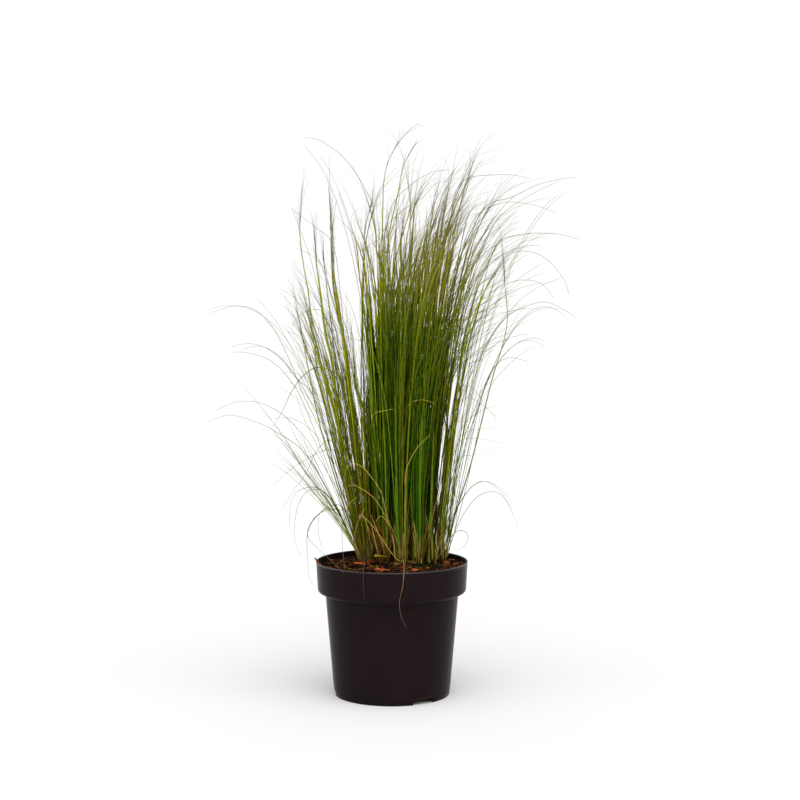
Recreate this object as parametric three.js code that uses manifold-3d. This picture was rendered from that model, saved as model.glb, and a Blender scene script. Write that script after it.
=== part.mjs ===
// Mexican feather grass (Nassella tenuissima) growing in a round plastic nursery pot.
// Millimetres, +Z up. The origin is on the ground, on the pot's axis, and -Y is the front.

import * as THREE from 'three';
import { mergeVertices } from 'three/addons/utils/BufferGeometryUtils.js';
import Module from 'manifold-3d';

const wasm = await Module();
wasm.setup();

// ---- Driving dimensions: the pot ----

const POT_HEIGHT = 148;
const RIM_RADIUS = 83.7;
const LIP_HEIGHT = 1.6;
const COLLAR_HEIGHT = 34.4;
const COLLAR_TAPER = 1.8;
const COLLAR_CORNER = 4;
const BODY_TOP_RADIUS = 73.2;
const BODY_FOOT_RADIUS = 65;
const NECK_FLARE = 1.2;
const FOOT_RADIUS = 63.6;
const FOOT_HEIGHT = 12;
const FOOT_RING_WIDTH = 2.6;
const FLOOR_UNDERSIDE = 8;
const WALL = 1.5;
const POT_SIDES = 40;

const NOTCH_ANGLES = [-57, 63, 183];
const NOTCH_HEIGHT = 7.4;
const NOTCH_TOP_WIDTH = 20;
const NOTCH_FOOT_WIDTH = 27;
const NOTCH_REACH = 20;
const DRAIN_COUNT = 6;
const DRAIN_RADIUS = 5;
const DRAIN_CIRCLE = 42;
const DRAIN_SIDES = 10;

// ---- Driving dimensions: the soil ----

const SOIL_LEVEL = 139.5;
const SOIL_MOUND = 8.5;
const MOUND_RADIUS = 52;
const SOIL_RELIEF = 0.6;
const SOIL_GAP = 0.6;
const SOIL_SIDES = 30;
const SOIL_RINGS = 5;
const CHIP_COUNT = 18;
const CHIP_LENGTH = [8, 18];
const CHIP_WIDTH = [2.5, 5];
const CHIP_THICKNESS = [2.4, 3.6];
const CHIP_REACH = 72;
const CHIP_SINK = 0.2;
const CHIP_TILT = 0.4;

// ---- Driving dimensions: the grass ----

const CLUMP_X = 10;
const CLUMP_Y = 8;
const CROWN_RADIUS = 6.6;
const CROWN_DEPTH = 14;
const CROWN_RISE = 6;
const CROWN_SIDES = 8;
const HOLE_GAP = 0.4;

const ROOT_SPREAD = 5.6;
const ROOT_DEPTH = 3;
const BLADE_RADIUS = 0.75;
const BLADE_TIP_RADIUS = 0.42;
const BLADE_GAP = 0.35;
const OWN_GAP = -0.4;
const BLADE_TRIES = 80;
const SHORT_SHARE = 0.16;
const SHORT_SIZE = [0.42, 0.7];
const LONG_SIZE = [0.78, 1.06];
const TOP_DOME = 0.1;
const BEND_HEIGHT = 0.66;
const BEND_STRAY = 0.08;
const STRAY = 20;
const GOLDEN_ANGLE = Math.PI * (3 - Math.sqrt(5));

const STEM_RADIUS = 1.0;
const STEM_SHARE = 0.98;
const STEM_ROOT = 0.7;
const STEM_REACH = 1.1;
const STEM_FAN = 12;
const ARCH_SEGMENTS = 6;
const AWN_RADIUS = 0.45;
const AWN_COUNT = 4;
const AWN_ZONE = [0.72, 0.96];
const AWN_LENGTH = [45, 75];
const AWN_RISE = 0.92;
const AWN_SPREAD = 0.3;
const AWN_BEND = [0.35, 4];
const DEAD_RADIUS = 0.6;
const DEAD_CLEARANCE = 2;
const DEAD_SEGMENTS = 11;

const CHIP_SEED = 4021;
const BLADE_SEED = 5;
const STEM_SEED = 70001;
const ARCH_SEED = 90001;

// The bunches: the crown's place on the soil, how far the middle of the bunch leans over at its full
// height, how tall it stands above the crown, how much it fans out, how early it bends (the share of the
// lean that two thirds of the height has), and how many blades and stems it has.
const BUNCHES = [
  { x: -29, y: 2, leanX: -46, leanY: -26, height: 290, fan: 5.5, early: 0.56, blades: 22, stems: 1 },
  { x: -32, y: 20, leanX: -54, leanY: 6, height: 300, fan: 5.5, early: 0.56, blades: 22, stems: 1 },
  { x: -23, y: 35, leanX: -38, leanY: 30, height: 320, fan: 5.5, early: 0.46, blades: 22, stems: 1 },
  { x: -20, y: 12, leanX: -9, leanY: -8, height: 378, fan: 4.5, early: 0.3, blades: 22, stems: 0 },
  { x: -8, y: -6, leanX: -3, leanY: -44, height: 380, fan: 4.8, early: 0.3, blades: 22, stems: 1 },
  { x: 10, y: -14, leanX: 1, leanY: -54, height: 385, fan: 4.6, early: 0.3, blades: 22, stems: 0 },
  { x: 28, y: -10, leanX: 4, leanY: -44, height: 405, fan: 5.0, early: 0.26, blades: 22, stems: 1 },
  { x: 44, y: 0, leanX: 11, leanY: -28, height: 398, fan: 4.8, early: 0.26, blades: 22, stems: 1 },
  { x: 54, y: 18, leanX: 16, leanY: 0, height: 370, fan: 4.8, early: 0.28, blades: 22, stems: 1 },
  { x: 6, y: 6, leanX: 5, leanY: -14, height: 412, fan: 4.6, early: 0.24, blades: 22, stems: 0 },
  { x: 26, y: 9, leanX: 14, leanY: -6, height: 428, fan: 4.6, early: 0.22, blades: 22, stems: 1 },
  { x: -5, y: 26, leanX: 0, leanY: 10, height: 392, fan: 4.6, early: 0.28, blades: 22, stems: 1 },
  { x: 15, y: 29, leanX: 13, leanY: 28, height: 426, fan: 4.6, early: 0.22, blades: 22, stems: 1 },
  { x: 36, y: 28, leanX: 14, leanY: 32, height: 420, fan: 4.8, early: 0.22, blades: 22, stems: 1 },
];

// Long blades that arch out of the clump, and the stout stems that stand up out of it: the bunch, the
// tip's place, how far out the bend stands as a share of the reach, and how high it stands above the tip.
const ARCHES = [
  { bunch: 1, x: -68, y: 24, z: 535, share: 0.7, rise: -239, stout: true },
  { bunch: 0, x: -84, y: -10, z: 505, share: 0.6, rise: -200, stout: true },
  { bunch: 8, x: 120, y: 12, z: 420, share: 0.6, rise: -150, stout: true },
  { bunch: 1, x: -203, y: -10, z: 424, share: 0.42, rise: 50 },
  { bunch: 1, x: -180, y: 34, z: 380, share: 0.45, rise: 50 },
  { bunch: 0, x: -198, y: -62, z: 303, share: 0.5, rise: 90 },
  { bunch: 2, x: -146, y: 62, z: 451, share: 0.35, rise: 10 },
  { bunch: 0, x: -140, y: -40, z: 300, share: 0.5, rise: -30 },
  { bunch: 11, x: -99, y: 30, z: 611, share: 0.2, rise: -60 },
  { bunch: 8, x: 203, y: 20, z: 560, share: 0.4, rise: 0 },
  { bunch: 7, x: 178, y: -60, z: 506, share: 0.4, rise: 20 },
  { bunch: 8, x: 196, y: 48, z: 413, share: 0.5, rise: 80 },
  { bunch: 7, x: 168, y: -90, z: 386, share: 0.5, rise: 60 },
  { bunch: 8, x: 140, y: 6, z: 194, share: 0.5, rise: 100 },
  { bunch: 5, x: 22, y: -203, z: 440, share: 0.4, rise: 40 },
  { bunch: 4, x: -60, y: -176, z: 350, share: 0.45, rise: 70 },
  { bunch: 6, x: 96, y: -166, z: 480, share: 0.4, rise: 10 },
  { bunch: 0, x: -122, y: -128, z: 400, share: 0.4, rise: 30 },
  { bunch: 12, x: 6, y: 203, z: 450, share: 0.4, rise: 40 },
  { bunch: 2, x: -84, y: 164, z: 400, share: 0.45, rise: 50 },
  { bunch: 13, x: 104, y: 170, z: 430, share: 0.42, rise: 40 },
  { bunch: 13, x: 150, y: 108, z: 520, share: 0.4, rise: 0 },
  { bunch: 2, x: -150, y: 112, z: 330, share: 0.5, rise: 80 },
];

// Dead blades that hang over the rim: the bunch, where they cross the rim, and the places across and
// below the rim that they hang through.
const DEAD_BLADES = [
  { bunch: 5, rimX: 13, hang: [[11.5, 14], [8, 32], [10, 46], [16, 60]] },
  { bunch: 0, rimX: -29.5, hang: [[-30, 12], [-29.5, 24], [-26.5, 38]] },
];

// The outline of a bark chip, in shares of its length and width.
const CHIP_OUTLINE = [[-0.5, -0.2], [-0.2, -0.5], [0.42, -0.38], [0.5, 0.15], [0.1, 0.5], [-0.38, 0.3]];

// ---- Seeded random numbers ----

function randomSource(seed) {
  let state = seed >>> 0;
  return function next() {
    state = (state + 0x6d2b79f5) >>> 0;
    let mixed = Math.imul(state ^ (state >>> 15), state | 1);
    mixed ^= mixed + Math.imul(mixed ^ (mixed >>> 7), mixed | 61);
    return ((mixed ^ (mixed >>> 14)) >>> 0) / 4294967296;
  };
}

function between(random, low, high) {
  return low + (high - low) * random();
}

// ---- Solids: joining and cutting ----

function solidOf(geometry) {
  geometry.deleteAttribute('normal');
  geometry.deleteAttribute('uv');
  const merged = mergeVertices(geometry, 1e-4);
  const index = merged.index.array;
  const corners = [];
  for (let i = 0; i < index.length; i += 3) {
    const [a, b, c] = [index[i], index[i + 1], index[i + 2]];
    if (a !== b && b !== c && c !== a) corners.push(a, b, c);
  }
  return new wasm.Manifold(new wasm.Mesh({
    numProp: 3,
    vertProperties: new Float32Array(merged.attributes.position.array),
    triVerts: new Uint32Array(corners),
  }));
}

function geometryOf(solid) {
  const mesh = solid.getMesh();
  const geometry = new THREE.BufferGeometry();
  geometry.setAttribute('position', new THREE.BufferAttribute(mesh.vertProperties, 3));
  geometry.setIndex(new THREE.BufferAttribute(mesh.triVerts, 1));
  geometry.computeVertexNormals();
  return geometry;
}

function joined(solids) {
  return solids.reduce((whole, next) => whole.add(next));
}

function turnedProfile(points, sides) {
  const geometry = new THREE.LatheGeometry(points.map(([r, z]) => new THREE.Vector2(r, z)), sides);
  geometry.rotateX(Math.PI / 2);
  return geometry;
}

// ---- Pot ----

const COLLAR_FOOT = POT_HEIGHT - COLLAR_HEIGHT;
const COLLAR_RADIUS = RIM_RADIUS - COLLAR_TAPER;

// The pot's section, from the middle of the floor's underside round the outside and back in.
function potProfile() {
  return [
    [0, FLOOR_UNDERSIDE],
    [FOOT_RADIUS - FOOT_RING_WIDTH, FLOOR_UNDERSIDE],
    [FOOT_RADIUS - FOOT_RING_WIDTH, 0],
    [FOOT_RADIUS, 0],
    [BODY_FOOT_RADIUS, FOOT_HEIGHT],
    [BODY_TOP_RADIUS, COLLAR_FOOT - 2],
    [BODY_TOP_RADIUS + NECK_FLARE, COLLAR_FOOT],
    [COLLAR_RADIUS - COLLAR_CORNER, COLLAR_FOOT],
    [COLLAR_RADIUS - COLLAR_CORNER * 0.3, COLLAR_FOOT + COLLAR_CORNER * 0.3],
    [COLLAR_RADIUS, COLLAR_FOOT + COLLAR_CORNER],
    [RIM_RADIUS - 0.3, POT_HEIGHT - LIP_HEIGHT],
    [RIM_RADIUS, POT_HEIGHT - LIP_HEIGHT / 2],
    [RIM_RADIUS - 0.5, POT_HEIGHT],
    [RIM_RADIUS - WALL, POT_HEIGHT - LIP_HEIGHT / 4],
    [COLLAR_RADIUS - WALL, COLLAR_FOOT + COLLAR_CORNER + WALL],
    [COLLAR_RADIUS - COLLAR_CORNER, COLLAR_FOOT + WALL],
    [BODY_TOP_RADIUS - WALL * 0.6, COLLAR_FOOT + WALL],
    [BODY_FOOT_RADIUS - WALL, FOOT_HEIGHT],
    [BODY_FOOT_RADIUS - 2 * WALL, FLOOR_UNDERSIDE + WALL],
    [0, FLOOR_UNDERSIDE + WALL],
  ];
}

// A notch in the foot ring, with sloping sides, that lets water run out from under the floor.
function drainNotch(angle) {
  const outline = new THREE.Shape();
  outline.moveTo(-NOTCH_FOOT_WIDTH / 2, -NOTCH_HEIGHT);
  outline.lineTo(NOTCH_FOOT_WIDTH / 2, -NOTCH_HEIGHT);
  outline.lineTo(NOTCH_FOOT_WIDTH / 2, 0);
  outline.lineTo(NOTCH_TOP_WIDTH / 2, NOTCH_HEIGHT);
  outline.lineTo(-NOTCH_TOP_WIDTH / 2, NOTCH_HEIGHT);
  outline.lineTo(-NOTCH_FOOT_WIDTH / 2, 0);
  const geometry = new THREE.ExtrudeGeometry(outline, { depth: NOTCH_REACH, bevelEnabled: false });
  geometry.rotateX(Math.PI / 2);
  geometry.translate(0, FOOT_RADIUS + NOTCH_REACH / 2, 0);
  geometry.rotateZ(THREE.MathUtils.degToRad(angle - 90));
  return solidOf(geometry);
}

function drainHole(angle) {
  const geometry = new THREE.CylinderGeometry(DRAIN_RADIUS, DRAIN_RADIUS, 3 * WALL, DRAIN_SIDES);
  geometry.rotateX(Math.PI / 2);
  geometry.translate(DRAIN_CIRCLE, 0, FLOOR_UNDERSIDE + WALL / 2);
  geometry.rotateZ(angle);
  return solidOf(geometry);
}

function makePot() {
  let pot = solidOf(turnedProfile(potProfile(), POT_SIDES));
  for (const angle of NOTCH_ANGLES) pot = pot.subtract(drainNotch(angle));
  for (let i = 0; i < DRAIN_COUNT; i++) {
    pot = pot.subtract(drainHole(((i + 0.5) / DRAIN_COUNT) * 2 * Math.PI));
  }
  return pot;
}

// ---- Soil ----

// The soil's surface rises to the clump and rolls a little between the chips.
function soilHeight(x, y) {
  const away = Math.hypot(x - CLUMP_X, y - CLUMP_Y) / MOUND_RADIUS;
  const mound = SOIL_MOUND * Math.exp(-away * away);
  const wide = Math.sin(x * 0.21 + 1.3) * Math.cos(y * 0.27 - 0.4);
  const fine = Math.sin(x * 0.47 - y * 0.39);
  return SOIL_LEVEL + mound + SOIL_RELIEF * (wide + 0.6 * fine);
}

function soilProfile() {
  const topRadius = RIM_RADIUS - WALL - SOIL_GAP - COLLAR_TAPER / 4;
  const profile = [
    [0, FLOOR_UNDERSIDE + WALL + SOIL_GAP],
    [BODY_FOOT_RADIUS - 2 * WALL - SOIL_GAP, FLOOR_UNDERSIDE + WALL + SOIL_GAP],
    [BODY_FOOT_RADIUS - WALL - SOIL_GAP, FOOT_HEIGHT + SOIL_GAP],
    [BODY_TOP_RADIUS - WALL * 0.6 - SOIL_GAP, COLLAR_FOOT + WALL + SOIL_GAP],
    [COLLAR_RADIUS - COLLAR_CORNER - SOIL_GAP, COLLAR_FOOT + WALL + SOIL_GAP],
    [COLLAR_RADIUS - WALL - SOIL_GAP, COLLAR_FOOT + COLLAR_CORNER + WALL + SOIL_GAP],
  ];
  for (let ring = SOIL_RINGS; ring >= 0; ring--) profile.push([(topRadius * ring) / SOIL_RINGS, SOIL_LEVEL]);
  return profile;
}

function soilBody() {
  const geometry = turnedProfile(soilProfile(), SOIL_SIDES);
  const position = geometry.attributes.position;
  for (let i = 0; i < position.count; i++) {
    if (Math.abs(position.getZ(i) - SOIL_LEVEL) < 0.01) {
      position.setZ(i, soilHeight(position.getX(i), position.getY(i)));
    }
  }
  return solidOf(geometry);
}

// A bark chip: a flat splinter with slanted ends, lying tilted and half sunk in the soil.
function barkChip(random) {
  const length = between(random, ...CHIP_LENGTH);
  const width = between(random, ...CHIP_WIDTH);
  const thickness = between(random, ...CHIP_THICKNESS);
  const outline = new THREE.Shape(CHIP_OUTLINE.map(([u, v]) => new THREE.Vector2(u * length, v * width)));
  const geometry = new THREE.ExtrudeGeometry(outline, { depth: thickness, bevelEnabled: false });
  geometry.translate(0, 0, -thickness / 2);
  geometry.rotateX(between(random, -CHIP_TILT, CHIP_TILT));
  geometry.rotateY(between(random, -CHIP_TILT, CHIP_TILT) * 0.75);
  geometry.rotateZ(between(random, 0, Math.PI));
  return geometry;
}

// The chips lie scattered over the soil, but none across a crown.
function barkChips() {
  const random = randomSource(CHIP_SEED);
  const chips = [];
  while (chips.length < CHIP_COUNT) {
    const reach = CHIP_REACH * Math.sqrt(random());
    const angle = between(random, 0, 2 * Math.PI);
    const x = reach * Math.cos(angle);
    const y = reach * Math.sin(angle);
    const chip = barkChip(random);
    const nearest = Math.min(...BUNCHES.map((bunch) => Math.hypot(bunch.x - x, bunch.y - y)));
    if (nearest < CROWN_RADIUS + CHIP_LENGTH[1] * 0.6) continue;
    chip.translate(x, y, soilHeight(x, y) - CHIP_SINK);
    chips.push(solidOf(chip));
  }
  return chips;
}

function makeSoil() {
  let soil = joined([soilBody(), ...barkChips()]);
  for (const bunch of BUNCHES) soil = soil.subtract(crownHole(bunch));
  return soil;
}

// ---- Grass: the crown of a bunch ----

// The crown is the tight foot of a bunch, sunk in the soil and domed where the blades leave it.
function crownSolid(bunch) {
  return turnedCrown(bunch, [
    [0, -CROWN_DEPTH],
    [CROWN_RADIUS * 0.6, -CROWN_DEPTH],
    [CROWN_RADIUS, -CROWN_DEPTH * 0.4],
    [CROWN_RADIUS, CROWN_RISE * 0.3],
    [CROWN_RADIUS * 0.72, CROWN_RISE],
    [0, CROWN_RISE],
  ]);
}

// The hole in the soil that the crown stands in, open at the top.
function crownHole(bunch) {
  const radius = CROWN_RADIUS + HOLE_GAP;
  return turnedCrown(bunch, [
    [0, -CROWN_DEPTH - HOLE_GAP],
    [radius * 0.6, -CROWN_DEPTH - HOLE_GAP],
    [radius, -CROWN_DEPTH * 0.4],
    [radius, 2 * CROWN_RISE],
    [0, 2 * CROWN_RISE],
  ]);
}

function turnedCrown(bunch, profile) {
  const geometry = turnedProfile(profile, CROWN_SIDES);
  geometry.translate(bunch.x, bunch.y, soilHeight(bunch.x, bunch.y));
  return solidOf(geometry);
}

// ---- Grass: the shape of one strand ----

// A strand is a blade, a stem or an awn: a middle line, the places of its sections along that line from
// 0 to 1, its thickness at both ends, and the compass heading that its flat side faces.
function strand(line, footRadius, tipRadius, segments) {
  const places = [];
  for (let i = 0; i < segments; i++) places.push((i / (segments - 0.35)) ** 0.85);
  places.push(1);
  const foot = line.getPoint(0);
  const tip = line.getPoint(1);
  const heading = Math.atan2(tip.y - foot.y, tip.x - foot.x);
  return { line, footRadius, tipRadius, places, heading, points: places.map((t) => line.getPoint(t)) };
}

function radiusAt(grown, t) {
  return THREE.MathUtils.lerp(grown.footRadius, grown.tipRadius, Math.min(t * 1.1, 1));
}

// A bent line from the foot to the tip. share says how far out, and bendHeight how high, its bend stands.
function bentLine(foot, tip, share, bendHeight) {
  const bend = new THREE.Vector3().lerpVectors(foot, tip, share).setZ(bendHeight);
  return new THREE.QuadraticBezierCurve3(foot, bend, tip);
}

// The solid of a strand: a three-sided needle bent along the middle line.
function strandSolid(grown) {
  const segments = grown.places.length - 1;
  const geometry = new THREE.ConeGeometry(1, 1, 3, segments);
  const position = geometry.attributes.position;
  const side = new THREE.Vector3(-Math.sin(grown.heading), Math.cos(grown.heading), 0);
  for (let i = 0; i < position.count; i++) {
    const step = Math.round((position.getY(i) + 0.5) * segments);
    const t = grown.places[step];
    const centre = grown.line.getPoint(t);
    const face = new THREE.Vector3().crossVectors(side, grown.line.getTangent(t)).normalize();
    const size = step < segments ? radiusAt(grown, t) / (1 - step / segments) : 0;
    centre.addScaledVector(side, position.getX(i) * size);
    centre.addScaledVector(face, position.getZ(i) * size);
    position.setXYZ(i, centre.x, centre.y, centre.z);
  }
  return solidOf(geometry);
}

// ---- Grass: what grows from a crown ----

function crownTop(bunch) {
  return soilHeight(bunch.x, bunch.y) + CROWN_RISE;
}

function rootAt(bunch, offX, offY) {
  const x = bunch.x + offX * ROOT_SPREAD;
  const y = bunch.y + offY * ROOT_SPREAD;
  return new THREE.Vector3(x, y, crownTop(bunch) - ROOT_DEPTH);
}

// One blade. The roots are spread evenly over the crown, and the tips over the top of the bunch.
function drawBlade(bunch, index, attempt) {
  const random = randomSource(bunch.number * 1000003 + index * 1009 + attempt * 17 + BLADE_SEED);
  const spread = Math.sqrt((index + 0.5) / bunch.blades);
  const turn = index * GOLDEN_ANGLE;
  const offX = Math.cos(turn) * spread;
  const offY = Math.sin(turn) * spread;
  const short = random() < SHORT_SHARE;
  const size = short ? between(random, ...SHORT_SIZE) : between(random, ...LONG_SIZE);
  const reach = size ** 1.5;
  const fan = bunch.fan * CROWN_RADIUS * reach;
  const stray = STRAY * reach * (0.5 + attempt / BLADE_TRIES);
  const foot = rootAt(bunch, offX, offY);
  const tip = new THREE.Vector3(
    bunch.x + bunch.leanX * reach + offX * fan + between(random, -stray, stray),
    bunch.y + bunch.leanY * reach + offY * fan + between(random, -stray, stray),
    crownTop(bunch) + bunch.height * size * (1 - TOP_DOME * spread),
  );
  const share = bunch.early + between(random, -BEND_STRAY, BEND_STRAY);
  const line = bentLine(foot, tip, share, THREE.MathUtils.lerp(foot.z, tip.z, BEND_HEIGHT));
  return [strand(line, BLADE_RADIUS, BLADE_TIP_RADIUS, short || spread < 0.6 ? 3 : 4)];
}

// One long blade or stout stem, with a tip of its own.
function drawArch(bunch, arch, attempt) {
  const random = randomSource(arch.x * 31 + arch.y * 57 + arch.z * 7 + attempt * 13 + ARCH_SEED);
  const stray = attempt * 0.5;
  const turn = between(random, 0, 2 * Math.PI);
  const away = Math.sqrt(between(random, 0, 1));
  const foot = rootAt(bunch, Math.cos(turn) * away, Math.sin(turn) * away);
  const tip = new THREE.Vector3(arch.x, arch.y, arch.z + between(random, -stray, stray));
  const share = arch.share + between(random, -0.004, 0.004) * attempt;
  const line = bentLine(foot, tip, share, arch.z + arch.rise + between(random, -stray, stray));
  const footRadius = arch.stout ? STEM_RADIUS : BLADE_RADIUS;
  return [strand(line, footRadius, BLADE_TIP_RADIUS, ARCH_SEGMENTS)];
}

// A flowering stem, with fine awns standing out of its upper part.
function drawStem(bunch, stem, attempt) {
  const random = randomSource(bunch.number * 7919 + stem * 131 + attempt * 29 + STEM_SEED);
  const turn = between(random, 0, 2 * Math.PI);
  const offX = Math.cos(turn) * STEM_ROOT;
  const offY = Math.sin(turn) * STEM_ROOT;
  const foot = rootAt(bunch, offX, offY);
  const stray = STRAY * (0.6 + attempt / BLADE_TRIES);
  const tip = new THREE.Vector3(
    bunch.x + bunch.leanX * STEM_REACH + offX * STEM_FAN + between(random, -stray, stray),
    bunch.y + bunch.leanY * STEM_REACH + offY * STEM_FAN + between(random, -stray, stray),
    crownTop(bunch) + bunch.height * STEM_SHARE,
  );
  const line = bentLine(foot, tip, bunch.early, THREE.MathUtils.lerp(foot.z, tip.z, BEND_HEIGHT));
  const grown = [strand(line, STEM_RADIUS, AWN_RADIUS, 5)];
  for (let i = 0; i < AWN_COUNT; i++) {
    const t = THREE.MathUtils.lerp(...AWN_ZONE, i / (AWN_COUNT - 1));
    const root = line.getPoint(t);
    const out = turn + i * GOLDEN_ANGLE;
    const length = between(random, ...AWN_LENGTH);
    const end = root.clone().addScaledVector(line.getTangent(t), length * AWN_RISE);
    end.x += Math.cos(out) * length * AWN_SPREAD;
    end.y += Math.sin(out) * length * AWN_SPREAD;
    const [share, lift] = AWN_BEND;
    const awnLine = bentLine(root, end, share, (root.z + end.z) / 2 + lift);
    grown.push(strand(awnLine, AWN_RADIUS, AWN_RADIUS, 2));
  }
  return grown;
}

// A dead blade that lies over the rim and hangs down in front of the pot.
function drawDeadBlade(bunch, dead) {
  const foot = rootAt(bunch, 0.2, -0.8);
  const rimY = -Math.sqrt(RIM_RADIUS ** 2 - dead.rimX ** 2);
  const overRim = POT_HEIGHT + DEAD_RADIUS + DEAD_CLEARANCE;
  const points = [
    foot,
    new THREE.Vector3(THREE.MathUtils.lerp(foot.x, dead.rimX, 0.4), foot.y - 12, overRim + 5),
    new THREE.Vector3(dead.rimX, rimY + 14, overRim + 2),
    new THREE.Vector3(dead.rimX, rimY - 1.5, overRim - 1),
    ...dead.hang.map(([x, drop]) => new THREE.Vector3(x, rimY - 2.6, POT_HEIGHT - drop)),
  ];
  return strand(new THREE.CatmullRomCurve3(points), DEAD_RADIUS, DEAD_RADIUS, DEAD_SEGMENTS);
}

// ---- Grass: keeping the strands clear of each other ----

// The least distance between two straight segments, a0 to a1 and b0 to b1.
function segmentGap(a0, a1, b0, b1) {
  const u = new THREE.Vector3().subVectors(a1, a0);
  const v = new THREE.Vector3().subVectors(b1, b0);
  const w = new THREE.Vector3().subVectors(a0, b0);
  const a = u.dot(u);
  const b = u.dot(v);
  const c = v.dot(v);
  const d = u.dot(w);
  const e = v.dot(w);
  const slant = a * c - b * b;
  const first = slant > 1e-9 ? THREE.MathUtils.clamp((b * e - c * d) / slant, 0, 1) : 0;
  const t = THREE.MathUtils.clamp((b * first + e) / c, 0, 1);
  const s = THREE.MathUtils.clamp((b * t - d) / a, 0, 1);
  return w.addScaledVector(u, s).addScaledVector(v, -t).length();
}

function strandsMeet(one, other, gap) {
  for (let i = 1; i < one.points.length; i++) {
    const oneRadius = radiusAt(one, one.places[i - 1]);
    for (let j = 1; j < other.points.length; j++) {
      const room = oneRadius + radiusAt(other, other.places[j - 1]) + gap;
      const apart = segmentGap(one.points[i - 1], one.points[i], other.points[j - 1], other.points[j]);
      if (apart < room) return true;
    }
  }
  return false;
}

function meetsCrown(grown, bunch) {
  const foot = new THREE.Vector3(bunch.x, bunch.y, crownTop(bunch) - CROWN_RISE - CROWN_DEPTH);
  const top = new THREE.Vector3(bunch.x, bunch.y, crownTop(bunch));
  const room = CROWN_RADIUS + grown.footRadius + 2 * BLADE_GAP;
  return segmentGap(grown.points[0], grown.points[1], foot, top) < room;
}

function isClear(strands, bunch, bunches) {
  return bunches.every((other) => {
    const gap = other === bunch ? OWN_GAP : BLADE_GAP;
    if (other !== bunch && strands.some((grown) => meetsCrown(grown, other))) return false;
    return strands.every((grown) => other.strands.every((old) => !strandsMeet(grown, old, gap)));
  });
}

// Draws one thing again and again until it stands clear of the rest. What finds no room is left out.
function grow(bunches, bunch, draw) {
  for (let attempt = 0; attempt < BLADE_TRIES; attempt++) {
    const strands = draw(attempt);
    if (isClear(strands, bunch, bunches)) {
      bunch.strands.push(...strands);
      return;
    }
  }
}

function growBunches() {
  const bunches = BUNCHES.map((bunch, number) => ({ ...bunch, number, strands: [] }));
  for (const dead of DEAD_BLADES) {
    const bunch = bunches[dead.bunch];
    bunch.strands.push(drawDeadBlade(bunch, dead));
  }
  for (const arch of ARCHES) {
    const bunch = bunches[arch.bunch];
    grow(bunches, bunch, (attempt) => drawArch(bunch, arch, attempt));
  }
  for (const bunch of bunches) {
    for (let stem = 0; stem < bunch.stems; stem++) {
      grow(bunches, bunch, (attempt) => drawStem(bunch, stem, attempt));
    }
  }
  const most = Math.max(...BUNCHES.map((bunch) => bunch.blades));
  for (let index = 0; index < most; index++) {
    for (const bunch of bunches.filter(({ blades }) => index < blades)) {
      grow(bunches, bunch, (attempt) => drawBlade(bunch, index, attempt));
    }
  }
  return bunches;
}

function makeBunch(bunch) {
  return joined([crownSolid(bunch), ...bunch.strands.map(strandSolid)]);
}

// ---- Assembly ----

function namedMesh(name, solid, colour, roughness) {
  const material = new THREE.MeshStandardMaterial({ color: colour, roughness, metalness: 0 });
  const mesh = new THREE.Mesh(geometryOf(solid), material);
  mesh.name = name;
  return mesh;
}

const plant = new THREE.Group();
plant.add(namedMesh('pot', makePot(), 0x241d1f, 0.45));
plant.add(namedMesh('soil', makeSoil(), 0x4c2915, 0.95));
for (const bunch of growBunches()) {
  const number = String(bunch.number + 1).padStart(2, '0');
  plant.add(namedMesh(`grass_bunch_${number}`, makeBunch(bunch), 0x4a6a16, 0.6));
}
export default plant;
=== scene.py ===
"""Mexican feather grass in its nursery pot: the looks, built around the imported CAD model.

Lengths here are millimetres, in the row's frame (+Z up, -Y is the front), and MM turns them into metres.
"""

import math

import bpy
import numpy as np
from mathutils import Matrix, Vector, noise


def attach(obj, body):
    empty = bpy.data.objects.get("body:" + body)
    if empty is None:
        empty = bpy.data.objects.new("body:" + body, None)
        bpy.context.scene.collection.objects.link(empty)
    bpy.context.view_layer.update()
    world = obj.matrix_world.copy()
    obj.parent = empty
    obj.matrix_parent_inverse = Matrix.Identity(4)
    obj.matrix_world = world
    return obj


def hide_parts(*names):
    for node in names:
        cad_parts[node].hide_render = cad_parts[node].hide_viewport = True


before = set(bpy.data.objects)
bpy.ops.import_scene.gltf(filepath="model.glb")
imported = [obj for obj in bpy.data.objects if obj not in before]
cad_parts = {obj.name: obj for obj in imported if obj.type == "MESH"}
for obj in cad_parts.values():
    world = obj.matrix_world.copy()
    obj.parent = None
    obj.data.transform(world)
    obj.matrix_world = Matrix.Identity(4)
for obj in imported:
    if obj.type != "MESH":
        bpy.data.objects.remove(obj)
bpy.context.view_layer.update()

MM = 0.001

# ---- The part's own dimensions, as in its source ----

POT_HEIGHT = 148
RIM_RADIUS = 83.7
COLLAR_HEIGHT = 34.4
COLLAR_TAPER = 1.8
COLLAR_CORNER = 4
BODY_TOP_RADIUS = 73.2
BODY_FOOT_RADIUS = 65
FOOT_RADIUS = 63.6
FOOT_HEIGHT = 12
FOOT_RING_WIDTH = 2.6
FLOOR_UNDERSIDE = 8
WALL = 1.5
DRAIN_COUNT = 6
DRAIN_RADIUS = 5
DRAIN_CIRCLE = 42
NOTCH_ANGLES = (-57, 63, 183)
NOTCH_HEIGHT = 7.4
NOTCH_TOP_WIDTH = 20
NOTCH_FOOT_WIDTH = 27

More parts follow.
